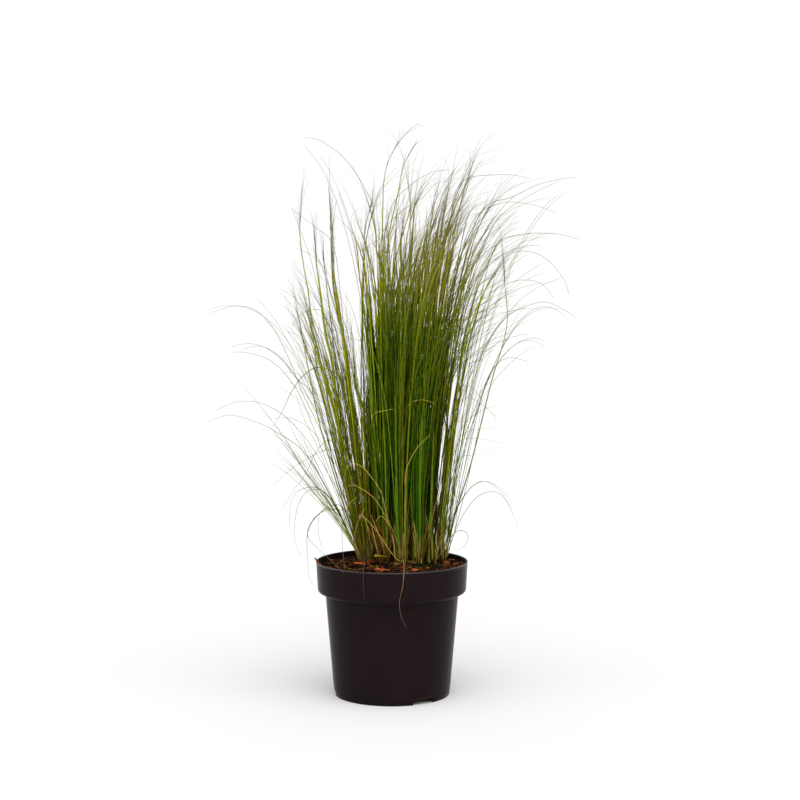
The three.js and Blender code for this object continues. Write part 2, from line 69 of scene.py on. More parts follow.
CLUMP_X = 10
CLUMP_Y = 8
SOIL_LEVEL = 139.5
SOIL_MOUND = 8.5
MOUND_RADIUS = 52
SOIL_RELIEF = 0.6
SOIL_GAP = 0.6
CROWN_RADIUS = 6.6
CROWN_DEPTH = 14
CROWN_RISE = 6
ROOT_SPREAD = 5.6
ROOT_DEPTH = 3
BLADE_RADIUS = 0.75
BLADE_TIP_RADIUS = 0.42
STEM_RADIUS = 1.0
STEM_SHARE = 0.98
AWN_RADIUS = 0.45
AWN_COUNT = 4
AWN_LENGTH = (45, 75)
AWN_SPREAD = 0.3
BLADE_GAP = 0.35
OWN_GAP = -0.4
BLADE_TRIES = 80
SHORT_SHARE = 0.16
BEND_HEIGHT = 0.66
STRAY = 20
GOLDEN_ANGLE = math.pi * (3 - math.sqrt(5))


def table(fields, *rows):
    """Rows of values, each as a dictionary with the named fields."""
    return [dict(zip(fields.split(), row)) for row in rows]


BUNCHES = table(
    "x y lean_x lean_y height fan early blades stems",
    (-29, 2, -46, -26, 290, 5.5, 0.56, 22, 1),
    (-32, 20, -54, 6, 300, 5.5, 0.56, 22, 1),
    (-23, 35, -38, 30, 320, 5.5, 0.46, 22, 1),
    (-20, 12, -9, -8, 378, 4.5, 0.3, 22, 0),
    (-8, -6, -3, -44, 380, 4.8, 0.3, 22, 1),
    (10, -14, 1, -54, 385, 4.6, 0.3, 22, 0),
    (28, -10, 4, -44, 405, 5.0, 0.26, 22, 1),
    (44, 0, 11, -28, 398, 4.8, 0.26, 22, 1),
    (54, 18, 16, 0, 370, 4.8, 0.28, 22, 1),
    (6, 6, 5, -14, 412, 4.6, 0.24, 22, 0),
    (26, 9, 14, -6, 428, 4.6, 0.22, 22, 1),
    (-5, 26, 0, 10, 392, 4.6, 0.28, 22, 1),
    (15, 29, 13, 28, 426, 4.6, 0.22, 22, 1),
    (36, 28, 14, 32, 420, 4.8, 0.22, 22, 1),
)

# The outward arches. The last value is given only for the stout ones.
ARCHES = table(
    "bunch x y z share rise stout",
    (1, -68, 24, 535, 0.7, -239, True),
    (0, -84, -10, 505, 0.6, -200, True),
    (8, 120, 12, 420, 0.6, -150, True),
    (1, -203, -10, 424, 0.42, 50),
    (1, -180, 34, 380, 0.45, 50),
    (0, -198, -62, 303, 0.5, 90),
    (2, -146, 62, 451, 0.35, 10),
    (0, -140, -40, 300, 0.5, -30),
    (11, -99, 30, 611, 0.2, -60),
    (8, 203, 20, 560, 0.4, 0),
    (7, 178, -60, 506, 0.4, 20),
    (8, 196, 48, 413, 0.5, 80),
    (7, 168, -90, 386, 0.5, 60),
    (8, 140, 6, 194, 0.5, 100),
    (5, 22, -203, 440, 0.4, 40),
    (4, -60, -176, 350, 0.45, 70),
    (6, 96, -166, 480, 0.4, 10),
    (0, -122, -128, 400, 0.4, 30),
    (12, 6, 203, 450, 0.4, 40),
    (2, -84, 164, 400, 0.45, 50),
    (13, 104, 170, 430, 0.42, 40),
    (13, 150, 108, 520, 0.4, 0),
    (2, -150, 112, 330, 0.5, 80),
)

DEAD_RADIUS = 0.6
DEAD_CLEARANCE = 2
DEAD_SEGMENTS = 11
DEAD_BLADES = table(
    "bunch rim_x hang",
    (5, 13, [(11.5, 14), (8, 32), (10, 46), (16, 60)]),
    (0, -29.5, [(-30, 12), (-29.5, 24), (-26.5, 38)]),
)

# ---- Camera, light and floor ----

PICTURE_SIZE = 800
LENS_MM = 80
SENSOR_MM = 36
CAMERA_SIGHT = (0.1, 50)
CAMERA_PLACE = (8.9, -1943, 466.3)
CAMERA_PITCH_DEG = 4.15
CAMERA_PITCH = math.radians(CAMERA_PITCH_DEG)
FOCAL_PIXELS = LENS_MM / SENSOR_MM * PICTURE_SIZE
MIDDLE_PIXEL = PICTURE_SIZE / 2

# Each wide, soft light: its azimuth (0 shines from the front, 90 from the right), elevation and strength.
SOFT_LIGHTS = {"light_right": (34, 54, 1.54), "light_left": (-34, 54, 1.06)}
LIGHT_WIDTH_DEG = 70
LIGHT_AWAY = 3
WORLD_STRENGTH = 0.66

FLOOR_ALBEDO = 0.757
FLOOR_REACH = 30000
WALL_PLACE = 3500
WALL_TOP = 4200
WALL_LEAN = 820
SURROUND_RADIUS = 29000
SURROUND_FOOT = -10
SURROUND_TOP = 30000
SURROUND_SIDES = 48
SURROUND_GLOW = 1.04


def add_camera():
    data = bpy.data.cameras.new("camera")
    data.lens = LENS_MM
    data.sensor_width = SENSOR_MM
    data.clip_start, data.clip_end = CAMERA_SIGHT
    camera = bpy.data.objects.new("camera", data)
    camera.location = Vector(CAMERA_PLACE) * MM
    camera.rotation_euler = (math.radians(90 - CAMERA_PITCH_DEG), 0, 0)
    bpy.context.scene.collection.objects.link(camera)
    bpy.context.scene.camera = camera


def add_soft_light(name, azimuth_deg, elevation_deg, strength):
    data = bpy.data.lights.new(name, "SUN")
    data.energy = strength
    data.angle = math.radians(LIGHT_WIDTH_DEG)
    light = bpy.data.objects.new(name, data)
    turn, rise = math.radians(azimuth_deg), math.radians(elevation_deg)
    source = Vector((math.sin(turn) * math.cos(rise), -math.cos(turn) * math.cos(rise), math.sin(rise)))
    light.location = source * LIGHT_AWAY
    light.rotation_euler = source.to_track_quat("Z", "Y").to_euler()
    bpy.context.scene.collection.objects.link(light)


def add_studio():
    world = bpy.data.worlds.new("studio")
    bpy.context.scene.world = world
    world.use_nodes = True
    world.node_tree.nodes["Background"].inputs["Color"].default_value = (1, 1, 1, 1)
    world.node_tree.nodes["Background"].inputs["Strength"].default_value = WORLD_STRENGTH
    bpy.context.scene.view_settings.view_transform = "Standard"
    for name, light in SOFT_LIGHTS.items():
        add_soft_light(name, *light)
    section = [(-FLOOR_REACH, 0), (WALL_PLACE, 0), (WALL_PLACE + WALL_LEAN, WALL_TOP)]
    points = [(x, y, z) for y, z in section for x in (-FLOOR_REACH, FLOOR_REACH)]
    floor = mesh_object("floor", points, [np.array([(0, 1, 3, 2), (2, 3, 5, 4)])], smooth=False)
    floor.data.materials.append(floor_material())
    add_surround()


def add_surround():
    """A plain white surround far off, for views from other sides. It lights nothing."""
    count = SURROUND_SIDES
    turns = [i * 2 * math.pi / count for i in range(count)]
    ring = [(math.cos(turn) * SURROUND_RADIUS, math.sin(turn) * SURROUND_RADIUS) for turn in turns]
    points = [(x, y, z) for z in (SURROUND_FOOT, SURROUND_TOP) for x, y in ring]
    quads = [(i, (i + 1) % count, (i + 1) % count + count, i + count) for i in range(count)]
    surround = mesh_object("surround", points, [np.array(quads)], smooth=False)
    surround.data.materials.append(surround_material())
    surround.visible_diffuse = False
    surround.visible_glossy = False
    surround.visible_transmission = False
    surround.visible_shadow = False


# ---- Small helpers ----


def random_source(seed):
    """The part's own seeded numbers (mulberry32), so that the fine blades follow the part's blades."""
    mask = 0xFFFFFFFF
    state = seed & mask

    def following():
        nonlocal state
        state = (state + 0x6D2B79F5) & mask
        mixed = ((state ^ (state >> 15)) * (state | 1)) & mask
        mixed ^= (mixed + (((mixed ^ (mixed >> 7)) * (mixed | 61)) & mask)) & mask
        return ((mixed ^ (mixed >> 14)) & mask) / (mask + 1)

    return following


def between(random, low, high):
    return low + (high - low) * random()


def lerp(a, b, t):
    return (1 - t) * a + t * b


def linear(red, green, blue):
    """A colour given as sRGB bytes, as the linear numbers that shaders take."""
    values = np.array([red, green, blue]) / 255
    return np.where(values <= 0.04045, values / 12.92, ((values + 0.055) / 1.055) ** 2.4)


def soil_height(x, y):
    """The height of the part's soil: a mound under the clump, with slow rolls."""
    away = np.hypot(x - CLUMP_X, y - CLUMP_Y) / MOUND_RADIUS
    mound = SOIL_MOUND * np.exp(-away * away)
    rolls = np.sin(x * 0.21 + 1.3) * np.cos(y * 0.27 - 0.4) + 0.6 * np.sin(x * 0.47 - y * 0.39)
    return SOIL_LEVEL + mound + SOIL_RELIEF * rolls


def place_of(px, py, y):
    """The point at depth y that the picture shows at a pixel."""
    cos, sin = math.cos(CAMERA_PITCH), math.sin(CAMERA_PITCH)
    away = y - CAMERA_PLACE[1]
    drop = (MIDDLE_PIXEL - py) / FOCAL_PIXELS
    rise = away * (drop * cos - sin) / (cos + drop * sin)
    depth = away * cos - rise * sin
    return (CAMERA_PLACE[0] + (px - MIDDLE_PIXEL) * depth / FOCAL_PIXELS, y, CAMERA_PLACE[2] + rise)


# ---- Meshes ----


def mesh_object(name, points, faces, tints=None, smooth=True):
    """A mesh from points in millimetres and faces as arrays of point numbers, each array one face size."""
    mesh = bpy.data.meshes.new(name)
    points = np.asarray(points, np.float32) * MM
    mesh.vertices.add(len(points))
    mesh.vertices.foreach_set("co", points.ravel())
    corners = np.concatenate([np.asarray(f, np.int32).ravel() for f in faces])
    sizes = np.concatenate([np.full(len(f), np.shape(f)[1], np.int32) for f in faces])
    mesh.loops.add(len(corners))
    mesh.loops.foreach_set("vertex_index", corners)
    mesh.polygons.add(len(sizes))
    mesh.polygons.foreach_set("loop_start", np.concatenate([[0], np.cumsum(sizes)[:-1]]).astype(np.int32))
    mesh.polygons.foreach_set("use_smooth", np.full(len(sizes), smooth))
    if tints is not None:
        colours = np.ones((len(points), 4), np.float32)
        colours[:, :3] = tints
        mesh.attributes.new("tint", "FLOAT_COLOR", "POINT").data.foreach_set("color", colours.ravel())
    mesh.update(calc_edges=True)
    mesh.validate()
    thing = bpy.data.objects.new(name, mesh)
    bpy.context.scene.collection.objects.link(thing)
    return thing


class TubeBatch:
    """Collects tapering three-sided strands, then makes them one mesh."""

    SIDES = 3

    def __init__(self):
        self.points, self.quads, self.triangles, self.tints = [], [], [], []
        self.count = 0

    def add(self, lines, radii, tints):
        """lines is (strands, steps, 3), radii (strands, steps), tints (strands, steps, 3)."""
        strands, steps, _ = lines.shape
        along = np.gradient(lines, axis=1)
        along /= np.linalg.norm(along, axis=2, keepdims=True) + 1e-9
        reach = lines[:, -1] - lines[:, 0]
        heading = np.arctan2(reach[:, 1], reach[:, 0])
        across = np.stack([-np.sin(heading), np.cos(heading), np.zeros(strands)], 1)[:, None]
        side = across - (across * along).sum(2, keepdims=True) * along
        side /= np.linalg.norm(side, axis=2, keepdims=True) + 1e-9
        face = np.cross(along, side)
        rings = []
        for k in range(self.SIDES):
            turn = 2 * math.pi * k / self.SIDES
            offset = math.cos(turn) * side + math.sin(turn) * face
            rings.append(lines[:, :-1] + offset[:, :-1] * radii[:, :-1, None])
        body = np.stack(rings, 2).reshape(strands, -1, 3)
        every = np.concatenate([body, lines[:, -1:]], 1)
        per = every.shape[1]
        start = self.count + per * np.arange(strands)[:, None, None]
        ring = self.SIDES * np.arange(steps - 2)[:, None]
        k = np.arange(self.SIDES)[None]
        after = (k + 1) % self.SIDES
        quad = np.stack([ring + k, ring + after, ring + self.SIDES + after, ring + self.SIDES + k], 2)
        self.quads.append((start[..., None] + quad[None]).reshape(-1, 4))
        last = self.SIDES * (steps - 2)
        tips = np.stack([last + k[0], last + after[0], np.full(self.SIDES, per - 1)], 1)
        caps = np.concatenate([tips, [[2, 1, 0]]])
        self.triangles.append((start + caps[None]).reshape(-1, 3))
        self.points.append(every.reshape(-1, 3))
        ring_tints = np.repeat(tints[:, :-1], self.SIDES, axis=1)
        self.tints.append(np.concatenate([ring_tints, tints[:, -1:]], 1).reshape(-1, 3))
        self.count += per * strands

    def make(self, name):
        faces = [np.concatenate(self.quads), np.concatenate(self.triangles)]
        return mesh_object(name, np.concatenate(self.points), faces, np.concatenate(self.tints))


# ---- Materials ----


class Nodes:
    """Short ways to add and join shader nodes."""

    def __init__(self, name):
        self.material = bpy.data.materials.new(name)
        self.material.use_nodes = True
        self.tree = self.material.node_tree
        self.shader = self.tree.nodes["Principled BSDF"]

    def add(self, kind, **settings):
        node = self.tree.nodes.new(kind)
        for name, value in settings.items():
            setattr(node, name, value)
        return node

    def join(self, source, target):
        self.tree.links.new(source, target)

    def noise(self, scale, detail, rough, stretch=(1, 1, 1)):
        place = self.add("ShaderNodeTexCoord")
        sized = self.add("ShaderNodeMapping")
        sized.inputs["Scale"].default_value = stretch
        pattern = self.add("ShaderNodeTexNoise")
        pattern.inputs["Scale"].default_value = scale
        pattern.inputs["Detail"].default_value = detail
        pattern.inputs["Roughness"].default_value = rough
        self.join(place.outputs["Object"], sized.inputs["Vector"])
        self.join(sized.outputs["Vector"], pattern.inputs["Vector"])
        return pattern.outputs["Fac"]

    def ramp(self, source, low, high, dark, light):
        """Maps source from low..high to dark..light."""
        node = self.add("ShaderNodeMapRange")
        for name, value in zip(("From Min", "From Max", "To Min", "To Max"), (low, high, dark, light)):
            node.inputs[name].default_value = value
        self.join(source, node.inputs["Value"])
        return node.outputs["Result"]

    def mix(self, factor, first, second, blend="MIX"):
        node = self.add("ShaderNodeMix", data_type="RGBA", blend_type=blend)
        for value, target in ((factor, node.inputs[0]), (first, node.inputs[6]), (second, node.inputs[7])):
            if hasattr(value, "links"):
                self.join(value, target)
            elif isinstance(value, (int, float)):
                target.default_value = value
            else:
                target.default_value = (*value, 1)
        return node.outputs[2]

    def bump(self, height, strength, distance):
        node = self.add("ShaderNodeBump")
        node.inputs["Strength"].default_value = strength
        node.inputs["Distance"].default_value = distance
        self.join(height, node.inputs["Height"])
        self.join(node.outputs["Normal"], self.shader.inputs["Normal"])


def tinted_material(name, grain_scale, grain_stretch, light, rough, bump_distance, specular):
    """A material whose colour is the mesh's own tint, varied by a fine grain."""
    nodes = Nodes(name)
    tint = nodes.add("ShaderNodeAttribute", attribute_name="tint").outputs["Color"]
    grain = nodes.noise(grain_scale, 3, 0.6, grain_stretch)
    factor = nodes.ramp(grain, 0.3, 0.7, *light)
    grey = nodes.add("ShaderNodeCombineColor")
    for channel in ("Red", "Green", "Blue"):
        nodes.join(factor, grey.inputs[channel])
    colour = nodes.mix(1.0, tint, grey.outputs["Color"], "MULTIPLY")
    nodes.join(colour, nodes.shader.inputs["Base Color"])
    nodes.join(nodes.ramp(grain, 0.3, 0.7, *rough), nodes.shader.inputs["Roughness"])
    nodes.bump(grain, 0.5, bump_distance)
    nodes.shader.inputs["Specular IOR Level"].default_value = specular
    return nodes.material


def grass_material():
    return tinted_material("grass_blades", 900, (1, 1, 0.16), (0.55, 1.35), (0.4, 0.6), 0.0001, 0.06)


def soil_material():
    return tinted_material("soil_and_bark", 700, (1, 1, 1), (0.6, 1.35), (0.75, 0.95), 0.0006, 0.08)


def plastic_material():
    nodes = Nodes("black_plastic")
    cloud = nodes.noise(24, 4, 0.6)
    streak = nodes.noise(260, 3, 0.6, (1, 1, 0.1))
    speck = nodes.noise(1500, 2, 0.5)
    base = nodes.mix(nodes.ramp(cloud, 0.35, 0.65, 0, 1), linear(27, 20, 22), linear(30, 22, 24))
    dust = nodes.ramp(speck, 0.68, 0.76, 0, 0.35)
    dusty = nodes.mix(dust, base, linear(80, 66, 58))
    nodes.shader.inputs["Specular IOR Level"].default_value = 0.03
    nodes.shader.inputs["Specular Tint"].default_value = (1, 0.8, 0.74, 1)
    nodes.shader.inputs["Sheen Weight"].default_value = 0.16
    nodes.shader.inputs["Sheen Roughness"].default_value = 0.25
    nodes.shader.inputs["Sheen Tint"].default_value = (0.72, 0.38, 0.22, 1)
    nodes.join(dusty, nodes.shader.inputs["Base Color"])
    nodes.join(nodes.ramp(streak, 0.3, 0.7, 0.28, 0.35), nodes.shader.inputs["Roughness"])
    nodes.bump(cloud, 0.1, 0.0004)
    return nodes.material


def rim_material():
    nodes = Nodes("worn_rim_painted_highlight")
    cloud = nodes.noise(120, 4, 0.6)
    # Paler than the body: wear on the lip, and a painted highlight along its edge.
    worn_and_highlight = nodes.mix(nodes.ramp(cloud, 0.35, 0.65, 0, 1), linear(24, 18, 17), linear(50, 40, 34))
    nodes.join(worn_and_highlight, nodes.shader.inputs["Base Color"])
    nodes.join(nodes.ramp(cloud, 0.3, 0.7, 0.3, 0.5), nodes.shader.inputs["Roughness"])
    nodes.bump(cloud, 0.3, 0.0002)
    return nodes.material


def floor_material():
    nodes = Nodes("studio_floor")
    nodes.shader.inputs["Base Color"].default_value = (FLOOR_ALBEDO, FLOOR_ALBEDO, FLOOR_ALBEDO, 1)
    nodes.shader.inputs["Roughness"].default_value = 0.9
    nodes.shader.inputs["Specular IOR Level"].default_value = 0.0
    return nodes.material


def surround_material():
    nodes = Nodes("studio_surround")
    nodes.shader.inputs["Base Color"].default_value = (0, 0, 0, 1)
    nodes.shader.inputs["Specular IOR Level"].default_value = 0.0
    nodes.shader.inputs["Emission Color"].default_value = (1, 1, 1, 1)
    nodes.shader.inputs["Emission Strength"].default_value = SURROUND_GLOW
    nodes.material.cycles.emission_sampling = "NONE"
    return nodes.material


# ---- Pot ----

COLLAR_FOOT = POT_HEIGHT - COLLAR_HEIGHT
POT_COLUMN_DEG = 2.0
DRAIN_SIDES = 20
# The small roundings at the foot ring, under the collar and at the lip.
RING_CORNER = 0.6
FOOT_EDGE = 0.3
NECK_DROP = 4
LIP_DROP = 1.6
# How many of the lip's rows have the paler look: wear, with a painted highlight along the lip's edge.
WORN_AND_HIGHLIGHT_ROWS = 8


def round_corner(centre, radius, start_deg, end_deg, steps):
    """Points of an arc in a profile, from one angle to another, 0 pointing out and 90 up."""
    turns = np.radians(np.linspace(start_deg, end_deg, steps))
    return [(centre[0] + radius * math.cos(a), centre[1] + radius * math.sin(a)) for a in turns]


def pot_profile():
    """The pot's section: up its outside from the floor's middle, round the lip, and back inside."""
    collar = RIM_RADIUS - COLLAR_TAPER
    corner = COLLAR_CORNER
    ring = FOOT_RADIUS - FOOT_RING_WIDTH
    outside = [
        (0, FLOOR_UNDERSIDE),
        (ring - 12, FLOOR_UNDERSIDE),
        (ring - RING_CORNER, FLOOR_UNDERSIDE),
        (ring, FLOOR_UNDERSIDE - RING_CORNER),
        (ring, FOOT_EDGE),
        (ring + FOOT_EDGE, 0),
        (FOOT_RADIUS - 0.5, 0),
        (FOOT_RADIUS - 0.05, 0.5),
        (lerp(FOOT_RADIUS, BODY_FOOT_RADIUS, 0.5), FOOT_HEIGHT * 0.5),
        (lerp(FOOT_RADIUS, BODY_FOOT_RADIUS, 0.97), FOOT_HEIGHT * 0.94),
    ]
    rise = COLLAR_FOOT - NECK_DROP - FOOT_HEIGHT
    for share in np.linspace(0.08, 1, 12):
        outside.append((lerp(BODY_FOOT_RADIUS, BODY_TOP_RADIUS, share), FOOT_HEIGHT + rise * share))
    outside += [
        (BODY_TOP_RADIUS + 0.3, COLLAR_FOOT - 1.6),
        (BODY_TOP_RADIUS + 1.0, COLLAR_FOOT - 0.3),
        (BODY_TOP_RADIUS + 2.2, COLLAR_FOOT),
    ]
    outside += round_corner((collar - corner, COLLAR_FOOT + corner), corner, -90, 0, 9)
    for share in (0.15, 0.4, 0.7, 0.92):
        height = lerp(COLLAR_FOOT + corner, POT_HEIGHT - LIP_DROP, share)
        outside.append((lerp(collar, RIM_RADIUS - 0.3, share), height))
    lip = round_corner((RIM_RADIUS - WALL / 2, POT_HEIGHT - WALL / 2), WALL / 2, -50, 180, 11)
    inside = [
        (RIM_RADIUS - WALL - 0.1, POT_HEIGHT - 2),
        (collar - WALL, COLLAR_FOOT + corner + WALL),
        (collar - corner, COLLAR_FOOT + WALL),
        (BODY_TOP_RADIUS - WALL * 0.6, COLLAR_FOOT + WALL),
        (BODY_FOOT_RADIUS - WALL, FOOT_HEIGHT),
        (BODY_FOOT_RADIUS - 2 * WALL, FLOOR_UNDERSIDE + WALL),
        (0, FLOOR_UNDERSIDE + WALL),
    ]
    return outside, lip, inside


def notch_height(angle_deg):
    """How high the foot is cut away at a compass angle."""
    highest = 0
    for notch in NOTCH_ANGLES:
        away = abs((angle_deg - notch + 180) % 360 - 180)
        across = math.radians(away) * FOOT_RADIUS
        slope = (NOTCH_FOOT_WIDTH / 2 - across) / ((NOTCH_FOOT_WIDTH - NOTCH_TOP_WIDTH) / 2)
        highest = max(highest, NOTCH_HEIGHT * min(max(slope, 0), 1))
    return highest


def pot_columns():
    """The compass angles of the pot's columns, with extra ones at the notches' corners."""
    angles = list(np.arange(0, 360, POT_COLUMN_DEG))
    for notch in NOTCH_ANGLES:
        for width in (NOTCH_TOP_WIDTH, NOTCH_FOOT_WIDTH):
            half = math.degrees(width / 2 / FOOT_RADIUS)
            angles += [(notch + half) % 360, (notch - half) % 360]
    return sorted(set(round(a, 3) for a in angles))


def cut_drain_holes(pot):
    """Cuts the round drain holes through the pot's floor."""
    sides = DRAIN_SIDES
    points, faces = [], []
    for hole in range(DRAIN_COUNT):
        turn = (hole + 0.5) / DRAIN_COUNT * 2 * math.pi
        x, y = DRAIN_CIRCLE * math.cos(turn), DRAIN_CIRCLE * math.sin(turn)
        first = len(points)
        for z in (FLOOR_UNDERSIDE - WALL, FLOOR_UNDERSIDE + 2 * WALL):
            for side in range(sides):
                way = side / sides * 2 * math.pi
                points.append((x + DRAIN_RADIUS * math.cos(way), y + DRAIN_RADIUS * math.sin(way), z))
        low = np.arange(sides) + first
        walls = np.stack([low, np.roll(low, -1), np.roll(low, -1) + sides, low + sides], axis=1)
        faces += [walls, low[None, ::-1], low[None] + sides]
    posts = mesh_object("drain_posts", points, faces, smooth=False)
    cut = pot.modifiers.new("drain_holes", "BOOLEAN")
    cut.operation = "DIFFERENCE"
    cut.solver = "EXACT"
    cut.object = posts
    cut_pot = pot.evaluated_get(bpy.context.evaluated_depsgraph_get())
    mesh = bpy.data.meshes.new_from_object(cut_pot)
    pot.modifiers.clear()
    pot.data = mesh
    bpy.data.objects.remove(posts)


def make_pot():
    outside, lip, inside = pot_profile()
    columns = pot_columns()
    points = [(0, 0, outside[0][1]), (0, 0, inside[-1][1])]
    rows = [*outside[1:], *lip, *inside[:-1]]
    for angle in columns:
        cut = notch_height(angle)
        turn = math.radians(angle)
        for radius, height in rows:
            if radius > FOOT_RADIUS - FOOT_RING_WIDTH - 1 and height < FOOT_HEIGHT / 2:
                height = max(height, cut)
            points.append((radius * math.cos(turn), radius * math.sin(turn), height))
    count = len(rows)
    quads, triangles = [], []
    for i in range(len(columns)):
        here, there = 2 + i * count, 2 + (i + 1) % len(columns) * count
        triangles += [(0, there, here), (1, here + count - 1, there + count - 1)]
        for j in range(count - 1):
            quads.append((here + j, there + j, there + j + 1, here + j + 1))
    pot = mesh_object("nursery_pot", points, [np.array(quads), np.array(triangles)])
    pot.data.materials.append(plastic_material())
    pot.data.materials.append(rim_material())
    # The lip's rows take the paler rim colour: wear, with a painted highlight along the lip's edge.
    for face in pot.data.polygons[: len(quads)]:
        if -1 <= face.index % (count - 1) - len(outside) <= WORN_AND_HIGHLIGHT_ROWS:
            face.material_index = 1
    cut_drain_holes(pot)
    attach(pot, "root")
    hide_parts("pot")


# ---- Soil ----

SOIL_COLOURS = [linear(30, 15, 6), linear(44, 23, 9), linear(62, 34, 16), linear(20, 11, 4)]
BARK_COLOURS = [
    linear(84, 46, 20), linear(118, 58, 26), linear(62, 34, 14),
    linear(42, 24, 9), linear(142, 80, 40), linear(108, 90, 36),
]
MOSS_COLOURS = [linear(24, 28, 4), linear(40, 44, 8), linear(15, 17, 3)]
MOSS_PIXEL = (425, 566)
MOSS_REACH = 16
SOIL_WAIST = 60
LUMP_SCALE = 0.16
LUMP_HEIGHT = 1.5
GRIT_HEIGHT = 0.5
SOIL_COLUMNS = 260
SOIL_RINGS = 84


def lumps(x, y):
    """The soil's lumps, from broad to fine, as a height between about -1 and 1."""
    total, size, scale = 0.0, 1.0, LUMP_SCALE
    for _ in range(5):
        total += size * noise.noise(Vector((x * scale, y * scale, 0)))
        size *= 0.55
        scale *= 2.1
    return total


def on_soil(px, py):
    """Where the picture's pixel lies on the soil's surface."""
    low, high = -90.0, 90.0
    for _ in range(30):
        y = (low + high) / 2
        x, _, z = place_of(px, py, y)
        if z > soil_height(x, y):
            low = y
        else:
            high = y
    return x, y


MOSS_PLACE = on_soil(*MOSS_PIXEL)


def mossiness(x, y):
    """How far a place lies into the moss patch: 1 in its middle, 0 at its edge and below 0 outside."""
    return 1 - math.hypot((x - MOSS_PLACE[0]) / MOSS_REACH, (y - MOSS_PLACE[1]) / MOSS_REACH)


def soil_edge(height):
    """The soil's outer radius at a height, just inside the pot's wall."""
    collar = RIM_RADIUS - COLLAR_TAPER
    inside_wall = [
        (FLOOR_UNDERSIDE + WALL, BODY_FOOT_RADIUS - 2 * WALL),
        (FOOT_HEIGHT, BODY_FOOT_RADIUS - WALL),
        (COLLAR_FOOT + WALL, BODY_TOP_RADIUS - WALL * 0.6),
        (COLLAR_FOOT + WALL + 0.1, collar - COLLAR_CORNER),
        (COLLAR_FOOT + COLLAR_CORNER + WALL, collar - WALL),
        (POT_HEIGHT, RIM_RADIUS - WALL),
    ]
    return float(np.interp(height, *zip(*inside_wall))) - SOIL_GAP


def soil_rows():
    """The soil's rings of points: radius, height and whether they lie on its top."""
    floor = FLOOR_UNDERSIDE + WALL + SOIL_GAP
    shoulder = COLLAR_FOOT + WALL
    edge = soil_edge(SOIL_LEVEL)
    sides = [(soil_edge(height), height, False) for height in (floor, FOOT_HEIGHT, SOIL_WAIST)]
    sides.append((soil_edge(COLLAR_FOOT), shoulder, False))
    for height in (shoulder + SOIL_GAP, shoulder + COLLAR_CORNER):
        sides.append((soil_edge(height), height, False))
    return sides + [(edge * (1 - k / SOIL_RINGS), SOIL_LEVEL, True) for k in range(SOIL_RINGS)]


def make_soil(material):
    columns, rows = SOIL_COLUMNS, soil_rows()
    points, tints = [], []
    for radius, height, on_top in rows:
        for i in range(columns):
            turn = 2 * math.pi * i / columns
            x, y = radius * math.cos(turn), radius * math.sin(turn)
            z, lump = height, 0.0
            if on_top:
                lump = lumps(x, y)
                grit = noise.noise(Vector((x, y, 3)))
                z = float(soil_height(x, y)) + LUMP_HEIGHT * lump + GRIT_HEIGHT * grit
            points.append((x, y, z))
            # Painted shade: lighter on top of the lumps and darker in the hollows between them, with a
            # random mottle over it.
            shade = min(max(0.5 + 0.9 * lump + 0.5 * noise.noise(Vector((x * 0.5, y * 0.5, 9))), 0), 1)
            pair = MOSS_COLOURS[:2] if mossiness(x, y) > -0.1 else SOIL_COLOURS[3:1:-1]
            tints.append(lerp(*pair, shade))
    points += [(0, 0, rows[0][1]), (0, 0, float(soil_height(0, 0)))]
    tints += [SOIL_COLOURS[0], SOIL_COLOURS[0]]
    low, top = len(points) - 2, len(points) - 1
    last = (len(rows) - 1) * columns
    quads, triangles = [], []
    for i in range(columns):
        j = (i + 1) % columns
        triangles += [(low, j, i), (top, last + i, last + j)]
        for row in range(0, last, columns):
            quads.append((row + i, row + j, row + columns + j, row + columns + i))
    soil = mesh_object("potting_soil", points, [np.array(quads), np.array(triangles)], np.array(tints))
    soil.data.materials.append(material)
    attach(soil, "root")
    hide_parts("soil")


# Each kind of litter: how many, which share is bark, and the spans of its length, width and thickness.
LITTER = {
    "chip": (110, 0.75, [(8, 16), (2.8, 5.5), (1.2, 2.4)]),
    "splinter": (300, 0.6, [(4, 11), (0.9, 2.2), (0.5, 1.2)]),
    "crumb": (1100, 0.3, [(1.2, 3.2), (1.0, 2.4), (0.8, 1.8)]),
}

# The chips that catch the eye at the front: the picture's pixel, length, width, turn and colour.
ORANGE = linear(184, 92, 48)
RUST = linear(124, 52, 20)
OCHRE = linear(170, 128, 60)
FRONT_CHIPS = [
    (362, 565, 18, 5, -18, ORANGE),
    (383, 571, 17, 4, -12, ORANGE),
    (398, 565, 7, 4, 10, OCHRE),
    (415, 571, 8, 4, 15, ORANGE),
    (428, 569, 6, 3.2, 60, ORANGE),
    (447, 565, 8, 5, 60, RUST),
    (345, 563, 12, 4, 20, RUST),
    (335, 562, 13, 3.4, -30, RUST),
    (376, 563, 12, 3.6, 12, RUST),
    (406, 573, 9, 3, 5, RUST),
    (452, 561, 7, 3, 20, ORANGE),
]
# One chip leans on the rim at the left: its place, size, turns and colour.
LEANING_CHIP = (-80.6, -8, 146.9, 15, 3.8, 1.4, (0.2, 0.91, 0.1), BARK_COLOURS[1])

CHIP_OUTLINE = [(-0.5, -0.2), (-0.2, -0.5), (0.42, -0.38), (0.5, 0.15), (0.1, 0.5), (-0.38, 0.3)]
CHIP = np.array([(x, y, z) for z in (-0.5, 0.5) for x, y in CHIP_OUTLINE])


def turned(rx, ry, rz):
    return np.array(Matrix.Rotation(rz, 3, "Z") @ Matrix.Rotation(ry, 3, "Y") @ Matrix.Rotation(rx, 3, "X"))


